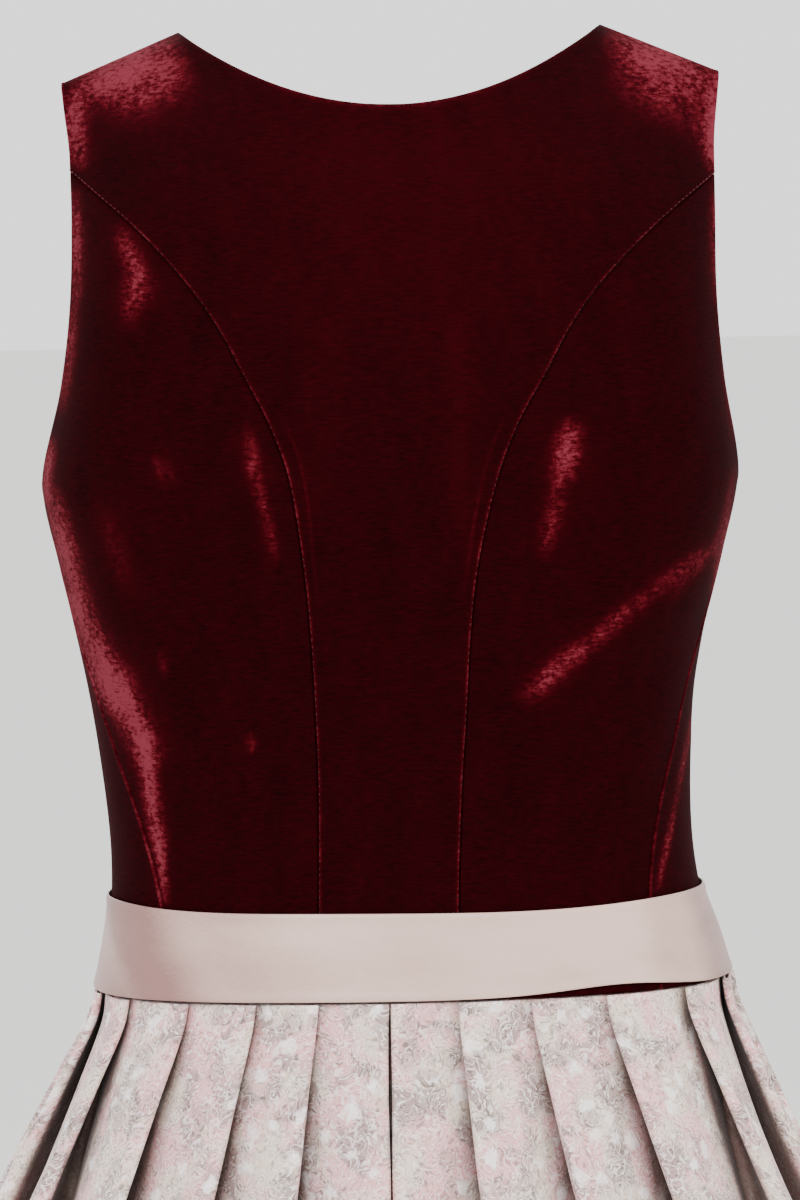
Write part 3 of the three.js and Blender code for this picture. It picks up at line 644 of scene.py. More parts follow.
def reach_from(points, axis, from_end):
    """How far each point of a grid lies from one edge, along the cloth."""
    steps = np.linalg.norm(np.diff(points, axis=axis), axis=-1)
    start = np.zeros_like(np.take(steps, [0], axis=axis))
    total = np.concatenate([start, np.cumsum(steps, axis=axis)], axis=axis)
    return np.take(total, [-1], axis=axis) - total if from_end else total


def marks(rows, columns, points, is_front):
    """The sum of soft strokes, given as a table, at points of the back or front."""
    found = np.zeros(points.shape[:-1])
    facing = points[..., 1] < 0 if is_front else points[..., 1] >= 0
    x, z = points[..., 0], points[..., 2]
    for stroke in records(columns, rows):
        x0, z0 = stroke["x0"], stroke["z0"]
        dx, dz = stroke["x1"] - x0, stroke["z1"] - z0
        t = ((x - x0) * dx + (z - z0) * dz) / (dx * dx + dz * dz)
        near = np.hypot(x - x0 - np.clip(t, 0, 1) * dx, z - z0 - np.clip(t, 0, 1) * dz)
        fade = np.sin(np.pi * np.clip(t * 0.8 + 0.1, 0, 1)) ** 0.7
        found += stroke[columns[-1]] * bell(near, stroke["wide"]) * fade
    return found * facing


def add_object(name, mesh):
    piece = bpy.data.objects.new(name, mesh)
    bpy.context.scene.collection.objects.link(piece)
    return piece


def cloth_shell(name, outer, inner, material, uv, attribute, marked):
    """A closed shell between two grids of points, in millimetres."""
    rows, columns = outer.shape[:2]
    count = rows * columns
    at = np.arange(count).reshape(rows, columns)
    under = at + count

    def strip(a, b):
        return np.stack([a[:-1], a[1:], b[1:], b[:-1]], axis=-1).reshape(-1, 4)

    front = [at[:-1, :-1], at[:-1, 1:], at[1:, 1:], at[1:, :-1]]
    behind = [under[:-1, :-1], under[1:, :-1], under[1:, 1:], under[:-1, 1:]]
    faces = np.concatenate(
        [
            np.stack(front, axis=-1).reshape(-1, 4),
            np.stack(behind, axis=-1).reshape(-1, 4),
            strip(under[0], at[0]),
            strip(at[-1], under[-1]),
            strip(at[:, 0], under[:, 0]),
            strip(under[:, -1], at[:, -1]),
        ]
    )
    points = np.concatenate([outer.reshape(-1, 3), inner.reshape(-1, 3)]) * MM
    a, b, c, d = (points[faces[:, k]] for k in range(4))
    volume = np.einsum("ij,ij->i", a, np.cross(b, c) + np.cross(c, d)).sum()
    if volume < 0:
        faces = faces[:, ::-1]
    mesh = bpy.data.meshes.new(name)
    mesh.from_pydata(points.tolist(), [], faces.tolist())
    flat = np.concatenate([uv.reshape(-1, 2), uv.reshape(-1, 2)])
    layer = mesh.uv_layers.new(name="cloth")
    loops = np.empty(len(mesh.loops), int)
    mesh.loops.foreach_get("vertex_index", loops)
    layer.data.foreach_set("uv", flat[loops].ravel())
    layer = mesh.attributes.new(attribute, "FLOAT", "POINT")
    layer.data.foreach_set("value", np.concatenate([marked.ravel(), 0 * marked.ravel()]))
    mesh.shade_smooth()
    mesh.materials.append(material)
    return add_object(name, mesh)


def settle(piece, node):
    """Fixes a piece to the dress in the place of a node of the frame."""
    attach(piece, "root")
    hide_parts(node)


# Materials


def linear(colour):
    """The linear value of an sRGB colour written in hex."""
    parts = [int(colour[i : i + 2], 16) / 255 for i in (1, 3, 5)]
    return (*(p / 12.92 if p <= 0.04045 else ((p + 0.055) / 1.055) ** 2.4 for p in parts), 1.0)


def add_node(tree, kind, inputs=None, **settings):
    """Adds a node, sets its properties and its inputs. An input is a value or another's output."""
    made = tree.nodes.new(kind)
    for key, value in settings.items():
        setattr(made, key, value)
    for key, value in (inputs or {}).items():
        socket = made.inputs[key]
        if isinstance(value, bpy.types.NodeSocket):
            tree.links.new(value, socket)
        else:
            socket.default_value = value
    return made


class Shader:
    """A material with a Principled surface, and short ways to add nodes to it."""

    def __init__(self, name, **constants):
        self.material = bpy.data.materials.new(name)
        self.material.use_nodes = True
        self.tree = self.material.node_tree
        self.tree.nodes.clear()
        named = {key.replace("_", " "): value for key, value in constants.items()}
        self.surface = self.add("BsdfPrincipled", named)
        out = self.add("OutputMaterial")
        self.tree.links.new(self.surface.outputs["BSDF"], out.inputs["Surface"])

    def add(self, kind, inputs=None, **settings):
        return add_node(self.tree, f"ShaderNode{kind}", inputs, **settings)

    def place(self):
        return self.add("TexCoord").outputs["Object"]

    def cloth(self):
        return self.add("UVMap", uv_map="cloth").outputs["UV"]

    def attribute(self, name):
        return self.add("Attribute", attribute_name=name).outputs["Fac"]

    def math(self, operation, a, b=0.0, c=0.0, clamp=False):
        return self.add("Math", {0: a, 1: b, 2: c}, operation=operation, use_clamp=clamp).outputs[0]

    def vector(self, operation, a, b, c=(0.0, 0.0, 0.0)):
        return self.add("VectorMath", {0: a, 1: b, 2: c}, operation=operation).outputs["Vector"]

    def stretched(self, vector, scale):
        return self.add("Mapping", {"Vector": vector, "Scale": scale}).outputs["Vector"]

    def noise(self, vector, scale, detail=2.0, output="Fac", **more):
        inputs = {"Vector": vector, "Scale": scale, "Detail": detail, **more}
        return self.add("TexNoise", inputs).outputs[output]

    def band(self, value, low, high):
        """0 at low and 1 at high, with a smooth rise between."""
        inputs = {"Value": value, "From Min": low, "From Max": high}
        return self.add("MapRange", inputs, interpolation_type="SMOOTHSTEP").outputs["Result"]

    def over(self, share, below, above, blend="MIX"):
        inputs = {"Factor": share, 6: below, 7: above}
        return self.add("Mix", inputs, data_type="RGBA", blend_type=blend).outputs[2]

    def ramp(self, value, *stops):
        made = self.add("ValToRGB", {"Fac": value})
        elements = made.color_ramp.elements
        while len(elements) < len(stops):
            elements.new(1.0)
        for element, (position, colour) in zip(elements, stops):
            element.position = position
            element.color = colour
        return made.outputs["Color"]

    def put(self, name, value):
        self.tree.links.new(value, self.surface.inputs[name])

    def bump(self, height, strength, distance):
        inputs = {"Height": height, "Strength": strength, "Distance": distance}
        self.put("Normal", self.add("Bump", inputs).outputs["Normal"])


def darker(colour, share):
    return (*(share * part for part in linear(colour)[:3]), 1.0)


def velvet(colours):
    # Cotton pile velvet: short upright fibres swallow light seen head on and glow at the edges. Where
    # the pile is brushed over, its colour is painted lighter as painted sheen. The pile parts in short
    # level streaks.
    shader = Shader(
        "velvet",
        Roughness=0.8,
        Sheen_Weight=0.08,
        Sheen_Roughness=0.3,
        Sheen_Tint=linear("#7a0a1a"),
        Specular_IOR_Level=0.02,
    )
    where, pile_sheen = shader.place(), shader.attribute("pile_sheen")

    def noise(scale, detail, roughness):
        found = shader.noise(shader.stretched(where, scale), 1.0, detail, Roughness=roughness)
        return shader.math("SUBTRACT", found, 0.5)

    def total(a, b, share):
        return shader.math("MULTIPLY_ADD", b, share, a)

    streaks = noise((230.0, 230.0, 1300.0), 4.0, 0.62)
    patches = noise((75.0, 75.0, 34.0), 4.0, 0.6)
    mottled = noise((340.0, 340.0, 520.0), 3.0, 0.65)
    pile = noise((1500.0, 1500.0, 1500.0), 2.0, 0.6)
    # Painted sheen: the brushed strokes read from the mesh lift the base colour towards the lighter stops.
    sheen_strength = shader.math("MULTIPLY_ADD", pile_sheen, 2.6, -0.3, clamp=True)
    uneven = total(total(total(patches, streaks, 1.0), mottled, 2.4), pile, 0.6)
    painted_sheen = shader.band(shader.math("MULTIPLY_ADD", sheen_strength, uneven, pile_sheen), 0.05, 1.0)
    resting = total(total(total(0.07, patches, 0.08), streaks, 0.22), pile_sheen, 0.24)
    level = shader.math("MULTIPLY_ADD", painted_sheen, 0.72, resting, clamp=True)
    colour = shader.ramp(
        level,
        (0.0, linear(colours.velvet_deep)),
        (0.16, linear(colours.velvet)),
        (0.5, linear(colours.velvet_brushed_sheen)),
        (1.0, linear(colours.velvet_painted_highlight)),
    )
    shader.put("Base Color", colour)
    shader.bump(total(pile, streaks, 1.0), 0.4, 0.0005)
    return shader.material


def satin(colours):
    # Warp-faced satin ribbon: long floats lie side by side, smooth and softly shining, with a
    # faint cross-rib from the weft.
    shader = Shader(
        "satin",
        Roughness=0.36,
        Sheen_Weight=0.1,
        Sheen_Roughness=0.5,
        Specular_IOR_Level=0.5,
        Anisotropic=0.4,
    )
    cloth = shader.cloth()
    threads = shader.noise(shader.stretched(cloth, (260.0, 2600.0, 1.0)), 1.0)
    cloudy = shader.noise(shader.stretched(cloth, (9.0, 26.0, 1.0)), 1.0, 3.0)
    blend = shader.math("MULTIPLY_ADD", threads, 0.3, cloudy)
    level = shader.math("MULTIPLY_ADD", shader.attribute("turned"), -0.85, blend)
    stops = (0.0, linear(colours.satin_shade)), (0.75, linear(colours.satin))
    shader.put("Base Color", shader.ramp(level, *stops))
    shader.bump(threads, 0.12, 0.0002)
    return shader.material


def jacquard(colours):
    # Figured jacquard: pink and beige ground crossed by fine grey and silky white floats, with
    # grey roses drawn in curved lines and small white petals that take the light. The cloth beside and
    # under each pleat's fold is darkened with a painted shadow.
    shader = Shader("jacquard", Sheen_Weight=0.1, Sheen_Roughness=0.5, Specular_IOR_Level=0.35)
    cloth = shader.cloth()
    calc, noise, band, over = shader.math, shader.noise, shader.band, shader.over

    def cells(vector, scale, randomness):
        """Scattered centres: the offset from the nearest one, its distance, and two numbers of its own."""
        inputs = {"Vector": vector, "Scale": scale, "Randomness": randomness}
        made = shader.add("TexVoronoi", inputs, voronoi_dimensions="2D").outputs
        own = shader.add("SeparateXYZ", {0: made["Color"]}).outputs
        return shader.vector("SUBTRACT", vector, made["Position"]), made["Distance"], own["X"], own["Y"]

    def moved(vector, scale, by):
        """The place moved about by a noise, up to half of `by` metres each way."""
        drift = shader.vector("SUBTRACT", noise(vector, scale, output="Color"), (0.5, 0.5, 0.5))
        return shader.vector("MULTIPLY_ADD", drift, (by, by, 0.0), vector)

    bent = moved(moved(cloth, 85.0, 0.008), 330.0, 0.0012)

    offset, distance, chance, phase = cells(bent, 58.0, 0.9)
    parts = shader.add("SeparateXYZ", {0: offset}).outputs
    angle = calc("MULTIPLY_ADD", phase, 6.28, calc("ARCTAN2", parts["Y"], parts["X"]))
    lobes = calc("SINE", calc("MULTIPLY_ADD", angle, 5.0, calc("MULTIPLY", distance, 14.0)))
    petals = calc("SINE", calc("MULTIPLY_ADD", distance, 44.0, calc("MULTIPLY", lobes, 1.9)))
    rose = calc("MULTIPLY", band(distance, 0.4, 0.26), band(chance, 0.5, 0.58))

    curls = calc("SINE", calc("MULTIPLY", noise(bent, 150.0, 0.6, Distortion=1.8), 27.0))
    tendrils = calc("SINE", calc("MULTIPLY", noise(bent, 105.0, 0.6, Distortion=2.4), 30.0))
    drawing = {"Factor": calc("MULTIPLY", rose, 0.75), 2: curls, 3: petals}
    lines = shader.add("Mix", drawing, data_type="FLOAT").outputs[0]
    light_threads = band(lines, 0.35, 0.95)
    grey_threads = band(tendrils, -0.55, -0.97)
    greyed = band(noise(cloth, 62.0, 3.5, Distortion=0.6), 0.47, 0.62)
    shaded = calc("MAXIMUM", greyed, calc("MULTIPLY", rose, 0.6))
    grey_share = calc("MULTIPLY", grey_threads, calc("MULTIPLY_ADD", shaded, 0.35, 0.55))
    light_share = calc("MULTIPLY", light_threads, calc("MULTIPLY_ADD", shaded, 0.1, 0.55))
    _, blob_distance, blob_chance, _ = cells(moved(bent, 230.0, 0.0065), 90.0, 1.0)
    blobs = calc("MULTIPLY", band(blob_distance, 0.38, 0.16), band(blob_chance, 0.7, 0.76))
    blob_share = calc("MULTIPLY", blobs, calc("MULTIPLY_ADD", lines, 0.22, 0.78))

    drawn = linear(colours.jacquard)
    for share, colour in (
        (band(noise(cloth, 38.0, 3.0), 0.42, 0.56), colours.jacquard_pink),
        (calc("MULTIPLY", shaded, 0.8), colours.jacquard_grey),
        (grey_share, colours.jacquard_shade),
        (light_share, colours.jacquard_light),
        (blob_share, colours.jacquard_light),
        # Painted shadow of the pleats' folds, darkening the cloth's colour
        (calc("MULTIPLY", shader.attribute("folded"), 0.88), colours.jacquard_fold_shadow),
    ):
        drawn = over(share, drawn, linear(colour))
    weft = noise(shader.stretched(cloth, (700.0, 2400.0, 1.0)), 1.0)
    woven = calc("MULTIPLY_ADD", weft, 0.3, 0.82)
    shader.put("Base Color", over(1.0, drawn, woven, "MULTIPLY"))
    silky = calc("MAXIMUM", light_threads, blobs)
    shader.put("Roughness", calc("MULTIPLY_ADD", silky, -0.25, 0.66))
    shader.bump(calc("MULTIPLY_ADD", weft, 0.5, silky), 0.3, 0.0003)
    return shader.material


def thread(name, colour):
    # Spun polyester sewing thread: matt with a slight twist that breaks up the light.
    shader = Shader(name, Roughness=0.7, Sheen_Weight=0.2, Specular_IOR_Level=0.3)
    twist = shader.noise(shader.place(), 2500.0)
    shader.put("Base Color", shader.ramp(twist, (0.3, darker(colour, 0.6)), (0.7, linear(colour))))
    return shader.material


def silver(colours):
    # Cast base metal, silvered and dulled: bright and dark in random patches, the dark ones rougher.
    shader = Shader("button_metal", Metallic=0.95)
    worn = shader.noise(shader.place(), 420.0, 4.0)
    shader.put("Base Color", shader.ramp(worn, (0.3, linear("#4a4640")), (0.65, linear(colours.silver))))
    rough = shader.add("MapRange", {"Value": worn, "To Min": 0.5, "To Max": 0.25})
    shader.put("Roughness", rough.outputs["Result"])
    return shader.material


def studio_floor(colour):
    # Matt seamless paper, rolled out pale under the dress.
    shader = Shader("studio_paper", Roughness=0.9, Specular_IOR_Level=0.2)
    fibre = shader.noise(shader.place(), 60.0, 4.0)
    shader.put("Base Color", shader.ramp(fibre, (0.3, darker(colour, 0.97)), (0.7, linear(colour))))
    return shader.material


# Bodice panels


ROWS_LOW, ROWS_HIGH = 84, 30


def seam_lines(side):
    return {
        "back": evenly(back_seam(side), ROWS_LOW),
        "side": evenly(side_seam(side), ROWS_LOW),
        "front": evenly(front_seam(side), ROWS_LOW),
    }


def panel_grids():
    """Grids of places for the seven panels, each between its left, right, bottom and top edge lines."""
    lines = {side: seam_lines(side) for side in (-1, 1)}
    grids = {}

    def waist(a, b, columns):
        def line(t):
            angle = mix(a[0], b[0], t)
            return at_height(angle, waist_z(angle))

        return evenly(line, columns)

    def edge(side, name, from_z, is_front):
        upper = evenly(up_to_ridge(side, from_z, is_front), ROWS_HIGH)
        return np.concatenate([lines[side][name], upper[1:]])

    right, left = (edge(side, "back", back_seam_top(side), False) for side in (-1, 1))
    ends = waist(right[0], left[0], 84), back_top(84, 18)
    grids["back_centre"] = patch(right, left, *ends, TOP_POWER["back"])
    for side, word in ((1, "left"), (-1, "right")):
        inner, outer = lines[side]["back"], lines[side]["side"]
        top = evenly(armhole_line(side, back_seam_top(side), False), 36)[::-1]
        grids[f"back_side_{word}"] = patch(inner, outer, waist(inner[0], outer[0], 36), top)
        inner, outer = lines[side]["side"], lines[side]["front"]
        top = evenly(armhole_line(side, FRONT_SEAM_TOP_Z, True), 48)
        grids[f"front_side_{word}"] = patch(inner, outer, waist(inner[0], outer[0], 48), top)
        outer = edge(side, "front", FRONT_SEAM_TOP_Z, True)

        def column(x):
            def line(t):
                z = mix(WAIST_SEAM_Z, float(front_neck_z(x)), t)
                return across_face(side, np.full(t.shape, float(x)), z, True)

            return evenly(line, len(outer) - 1)

        lap = [column(x) for x in np.linspace(-LAP["half"], LAP["eased"], 11)]
        ends = waist(lap[-1][0], outer[0], 42), front_top(side, LAP["eased"], 42, 18)
        rest = patch(lap[-1], outer, *ends, TOP_POWER["front"])
        grids[f"front_{word}"] = np.concatenate([np.stack(lap[:-1], axis=1), rest], axis=1)
    return grids


# What each edge of a panel is: raised over the turnings of its seam, sunk beside them, or finished
EDGES = {
    "back_centre": {"left": "raised", "right": "raised", "top": "finished"},
    "back_side": {"left": "sunk", "right": "sunk", "top": "finished"},
    "front_side": {"left": "raised", "right": "sunk", "top": "finished"},
    "front": {"left": "finished", "right": "raised", "top": "finished"},
}


def edge_finish(what, d, from_top, height):
    """How far a panel is raised, and how much painted sheen lightens its pile, at the distance d from an
    edge.
    """
    wave = np.sin(height / 3.1 + 1.3 * np.sin(height / 17.0))
    if what == "finished":
        proud = FINISHED["proud"] * bell(d - FINISHED["at"], FINISHED["wide"])
        return proud, FINISHED["pile_sheen"] * bell(d, FINISHED["sheen_wide"])
    if what == "sunk":
        deep = mix(SUNK["low"], SUNK["high"], ease((height - SUNK["from_z"]) / SUNK["over"]))
        fade = ease(from_top / SUNK["fade"])
        return -(deep + SUNK["wave"] * wave) * bell(d, SUNK["wide"]) * fade, 0
    proud = RAISED["proud"] * bell(d - RAISED["at"], RAISED["wide"])
    proud -= RAISED["groove"] * bell(d, RAISED["groove_wide"])
    pile_sheen = RAISED_PILE_SHEEN["strength"] + RAISED_PILE_SHEEN["wave"] * wave
    pile_sheen = pile_sheen * bell(d - RAISED_PILE_SHEEN["at"], RAISED_PILE_SHEEN["wide"])
    down = ease((TURNING["from_z"] - height) / TURNING["over"])
    beside = d - mix(TURNING["low"], TURNING["high"], down)
    shown = ease((TURNING_SHOWN["top_z"] - height) / TURNING_SHOWN["top_over"])
    shown = shown * ease((height - TURNING_SHOWN["low_z"]) / TURNING_SHOWN["low_over"])
    proud += TURNING["proud"] * shown * bell(beside, TURNING["wide"])
    return proud, pile_sheen + TURNING_PILE_SHEEN["strength"] * shown * bell(beside, TURNING_PILE_SHEEN["wide"])


def bodice_panel(name, places, sizes, material):
    kind = name.removesuffix("_left").removesuffix("_right")
    places = with_edges(with_edges(places, 0), 1)
    points = points_of(places)
    normals = form_normal(places[..., 0], places[..., 1])
    reach = {
        "left": reach_from(points, 1, False),
        "right": reach_from(points, 1, True),
        "top": reach_from(points, 0, True),
        "bottom": reach_from(points, 0, False),
    }
    near = np.minimum.reduce([reach["left"], reach["right"], reach["top"]])
    proud = marks(BACK_CREASES, CREASE_COLUMNS, points, False)
    proud = (proud + marks(FRONT_CREASES, CREASE_COLUMNS, points, True)) * ease(near / CREASE_FADE)
    # Painted sheen: brushed strokes that lighten the velvet's colour where the pile catches the light
    pile_sheen = marks(BACK_PILE_SHEEN, PILE_SHEEN_COLUMNS, points, False) + marks(FRONT_PILE_SHEEN, PILE_SHEEN_COLUMNS, points, True)
    around = [
        (*row[:4], HALO["wide"] * row[4], HALO["strength"] * row[5])
        for row in BACK_PILE_SHEEN
        if row[4] < HALO["unless"]
    ]
    pile_sheen = PILE_SHEEN_SHARE * pile_sheen + marks(around, PILE_SHEEN_COLUMNS, points, False)
    for where, what in EDGES[kind].items():
        more_proud, more_sheen = edge_finish(what, reach[where], reach["top"], points[..., 2])
        proud += more_proud
        pile_sheen += more_sheen
    sunk = 0
    if name == "front_left":
        sunk = LAP["sink"] * ease((LAP["eased"] - points[..., 0]) / (LAP["eased"] - LAP["flat"]))
    half = sizes.velvet_thickness / MM / 2
    wall = half * rounded(np.minimum(near, reach["bottom"]), half)
    middle = points + normals * (proud - sunk - half)[..., None]
    inset = SEAM_GAP / 2
    along, rising = (np.gradient(points, axis=axis) for axis in (1, 0))
    along /= np.linalg.norm(along, axis=-1, keepdims=True)
    rising /= np.linalg.norm(rising, axis=-1, keepdims=True)
    shift = along * (inset * np.exp(-reach["left"]) - inset * np.exp(-reach["right"]))[..., None]
    shift -= rising * (inset * np.exp(-reach["top"]))[..., None]
    outer = middle + shift + normals * wall[..., None]
    inner = middle + shift - normals * wall[..., None]
    uv = np.stack([reach["left"], reach["bottom"]], axis=-1) * MM
    piece = cloth_shell(f"{name}_cloth", outer, inner, material, uv, "pile_sheen", np.clip(pile_sheen, 0, 1))
    settle(piece, name)


# Sash


def sash_band(sizes, material):
    turns = np.linspace(0, 360 + SASH["lap"], 520)
    angle = (SASH["start"] + turns + 180) % 360 - 180
    ride = SASH_RIDE["lift"] * bell(angle - SASH_RIDE["angle"], SASH_RIDE["wide"])
    close = np.array([0, 0.006, 0.016, 0.032, 0.055])
    rows = np.concatenate([close, np.linspace(0.09, 0.91, 24), 1 - close[::-1]])
    sag = np.sin(np.radians(angle * SASH_SAG["waves"] + SASH_SAG["phase"])) * bell(angle, SASH_SAG["wide"])
    bottom = waist_z(angle) + ride
    top = SASH["top"] + SASH["rise"] * np.sin(np.radians(angle)) ** 2
    top = top + SASH_SAG["share"] * SASH_SAG["height"] * sag
    z = mix(bottom[None, :], top[None, :], rows[:, None])
    angles = np.broadcast_to(angle, z.shape)
    places = at_height(angles, z)
    points = points_of(places)
    normals = form_normal(places[..., 0], places[..., 1])
    half = sizes.satin_thickness / MM / 2
    over = ease((turns - 360 + SASH["ease"]) / SASH["ease"]) * 1.5
    proud = np.zeros(z.shape)
    for fold in records(SASH_FOLD_COLUMNS, SASH_FOLDS):
        lean = (z - fold["z"]) / 40
        turn = (angles - fold["angle"] - fold["slope"] * 18 * lean + 180) % 360 - 180
        proud += fold["proud"] * bell(turn, fold["wide"]) * bell(lean, 0.7)
    across = rows[:, None]
    proud += SASH_CROWN * np.sin(np.pi * across)
    for place, raised in SASH_EDGES:
        proud += raised * bell(across - place, 0.04)
    d = np.minimum(across, 1 - across) * 40
    ends = np.minimum(reach_from(points, 1, False), reach_from(points, 1, True))
    wall = half * rounded(np.minimum(d, ends), half)
    middle = points + normals * (SASH["gap"] + half + np.maximum(proud, -0.1) + over)[..., None]
    outer = middle + normals * wall[..., None]
    inner = middle - normals * wall[..., None]
    uv = np.stack([reach_from(points, 1, False), reach_from(points, 0, False)], axis=-1) * MM
    turned = np.zeros(z.shape)
    for tone in records(SASH_TONE_COLUMNS, SASH_TONES):
        place = angles - tone["slope"] * (z - SASH["top"] + 20)
        rising = ease((place - tone["from_angle"]) / (tone["to_angle"] - tone["from_angle"]))
        turned += tone["strength"] * rising
    piece = cloth_shell("sash_cloth", outer, inner, material, uv, "turned", turned)
    settle(piece, "sash")


# Skirt


SKIRT_TABLE = Table(SKIRT_COLUMNS, SKIRT)
STEPS = {"forward": 9, "fold": 6, "back": 5}


def pleat_section(pitch, cloth, lean, bend):
    """Dip, forward and back lengths of a pleat's section, for arrays of sizes."""

    def parts(dip):
        turned = 2 * bend * (lean + dip)
        fold_rise = 2 * bend * (np.cos(dip) - np.cos(lean))
        back = ((cloth - turned) * np.sin(dip) - fold_rise) / (np.sin(lean) + np.sin(dip))
        forward = cloth - turned - back
        fold_reach = 2 * bend * (np.sin(lean) + np.sin(dip))
        return back, forward, forward * np.cos(dip) + fold_reach + back * np.cos(lean)

    dip = solve(lambda a: -parts(a)[2], -pitch, 0.001, 1.2)
    back, forward, _ = parts(dip)
    return dip, forward, back


class Walk:
    """Walks a section for all rows at once, and keeps where the cloth is and its heading."""

    def __init__(self, length, out, heading):
        self.length, self.out, self.heading = length, out, heading
        self.cloth = np.zeros_like(length)
        self.points = []

    def mark(self, pleat, across):
        now = (self.length, self.out, self.heading, self.cloth)
        self.points.append((*(value.copy() for value in now), pleat, across))

    def straight(self, distance, steps, pleat=0):
        for i in range(steps):
            self.mark(pleat, i / steps if pleat else 0)
            self.length = self.length + distance / steps * np.cos(self.heading)
            self.out = self.out + distance / steps * np.sin(self.heading)
            self.cloth = self.cloth + distance / steps

    def fold(self, to, bend, steps):
        turn = (to - self.heading) / steps
        sign = np.sign(turn)
        for _ in range(steps):
            self.mark(0, 0)
            heading = self.heading
            self.length = self.length + sign * bend * (np.sin(heading + turn) - np.sin(heading))
            self.out = self.out - sign * bend * (np.cos(heading + turn) - np.cos(heading))
            self.cloth = self.cloth + bend * np.abs(turn)
            self.heading = heading + turn


def skirt_outline(row, side):
    angle = np.radians(row["turn"] + side * np.linspace(0, 180 - side * row["turn"], 721))
    across, along = outline(angle, 0.03)
    x = row["shift"] + row["half_width"] * across
    y = np.where(along > 0, row["back"], row["front"]) * along
    return x, y


def skirt_half(side, drops):
    """One side of the skirt: arrays of points and headings by row, from the centre back on."""
    pleats = records(PLEAT_COLUMNS, PLEATS_LEFT if side > 0 else PLEATS_RIGHT)
    ring = {name: SKIRT_TABLE.at(drops, name) for name in SKIRT_COLUMNS}
    outlines = [skirt_outline({k: v[j] for k, v in ring.items()}, side) for j in range(len(drops))]
    lengths = [np.append(0, np.cumsum(np.hypot(np.diff(x), np.diff(y)))) for x, y in outlines]
    total = np.array([length[-1] for length in lengths])
    scale = (total - ring["centre"] / 2 - FRONT_BOX / 2) / sum(p["width"] for p in pleats)
    lean, bend = np.radians(ring["lean"]), ring["bend"]
    sections = [
        pleat_section(p["width"] * scale, p["width"] + 2 * p["depth"], lean, bend) for p in pleats
    ]
    first = sections[0][0]
    reach = ring["centre"] / 2 - bend * (2 * np.sin(lean) + np.sin(first))
    cloth = 2 * CENTRE_DEPTH - bend * (2 * lean + first)
    rise = (cloth - reach) / (1 - np.cos(lean))
    sink = bend * (1 - np.cos(lean)) + rise * np.sin(lean) + bend * (np.cos(first) - np.cos(lean))
    walk = Walk(np.zeros_like(total), -sink, np.zeros_like(total))
    walk.straight(cloth - rise, STEPS["forward"])
    walk.fold(lean, bend, STEPS["fold"])
    walk.straight(rise, STEPS["back"])
    walk.fold(-first, bend, STEPS["fold"])
    for k, (dip, forward, back) in enumerate(sections):
        walk.heading = -dip
        walk.straight(forward, STEPS["forward"], k + 1)
        walk.fold(lean, bend, STEPS["fold"])
        walk.straight(back, STEPS["back"])
        following = sections[k + 1][0] if k + 1 < len(sections) else np.zeros_like(dip)
        walk.fold(-following, bend, STEPS["fold"])
    walk.straight(total - walk.length, 5, len(sections) + 1)
    walk.mark(0, 0)
    return walk.points, outlines, lengths


def skirt_points(side, drops, half):
    """Outer and inner points and cloth coordinates of one side, as arrays of row by step."""
    steps, outlines, lengths = skirt_half(side, drops)
    length, out, heading, cloth = (np.stack([s[k] for s in steps], axis=1) for k in range(4))
    pleat = np.array([s[4] for s in steps])
    across = np.array([s[5] for s in steps])
    proud = np.zeros(length.shape)
    for swell in records(SWELL_COLUMNS, SWELLS):
        if swell["pleat"] * side <= 0:
            continue
        step_share = np.where(pleat == abs(swell["pleat"]), across, -9)
        reach = (step_share - swell["across"] * 0.45) * 70 / swell["wide"]
        down = (drops - swell["from_drop"]) / (swell["to_drop"] - swell["from_drop"])
        fade = np.sin(np.pi * np.clip(down, 0, 1)) ** 1.5
        proud += swell["proud"] * bell(reach, 1)[None, :] * fade[:, None]
    loose = ease((drops - SKIRT_BILLOW["from_drop"]) / SKIRT_BILLOW["over"])[:, None]
    drop = drops[:, None]
    billow = np.sin(cloth / 47 + drop / 63 + side) * np.sin(drop / 41 + cloth / 90)
    proud += loose * SKIRT_BILLOW["proud"] * billow
    faces = []
    for offset in (half, -half):
        reach = length - (offset + proud) * np.sin(heading)
        rise = out + (offset + proud) * np.cos(heading)
        rings = zip(drops, outlines, lengths, reach, rise)
        faces.append(np.stack([on_outline(side, *ring) for ring in rings]))
    return faces[0], faces[1], side * cloth, fold_shade(length, drops)


def on_outline(side, drop, line, lengths, reach, rise):
    """Points of one row, from how far along its outline and how far out of it they lie."""

    def at(where):
        return np.stack([np.interp(where, lengths, values) for values in line])

    wanted = np.clip(reach, 0, lengths[-1])
    (tx, ty), (x, y) = at(wanted + 4) - at(wanted - 4), at(wanted)
    size = np.hypot(tx, ty)
    tx, ty = tx / size, ty / size
    past = reach - wanted
    x, y = x + tx * past, y + ty * past
    x, y = x - side * ty * rise, y + side * tx * rise
    across = (x - SKIRT_TABLE.at(drop, "shift")) / SKIRT_TABLE.at(drop, "half_width")
    risen = waist_rise(np.degrees(np.arcsin(np.clip(across, -1, 1))))
    z = WAIST_SEAM_Z - SKIRT_TOP_GAP - drop + (1 - ease(drop / WAIST_HOLD)) * risen
    return np.stack([x, y, z], axis=-1)


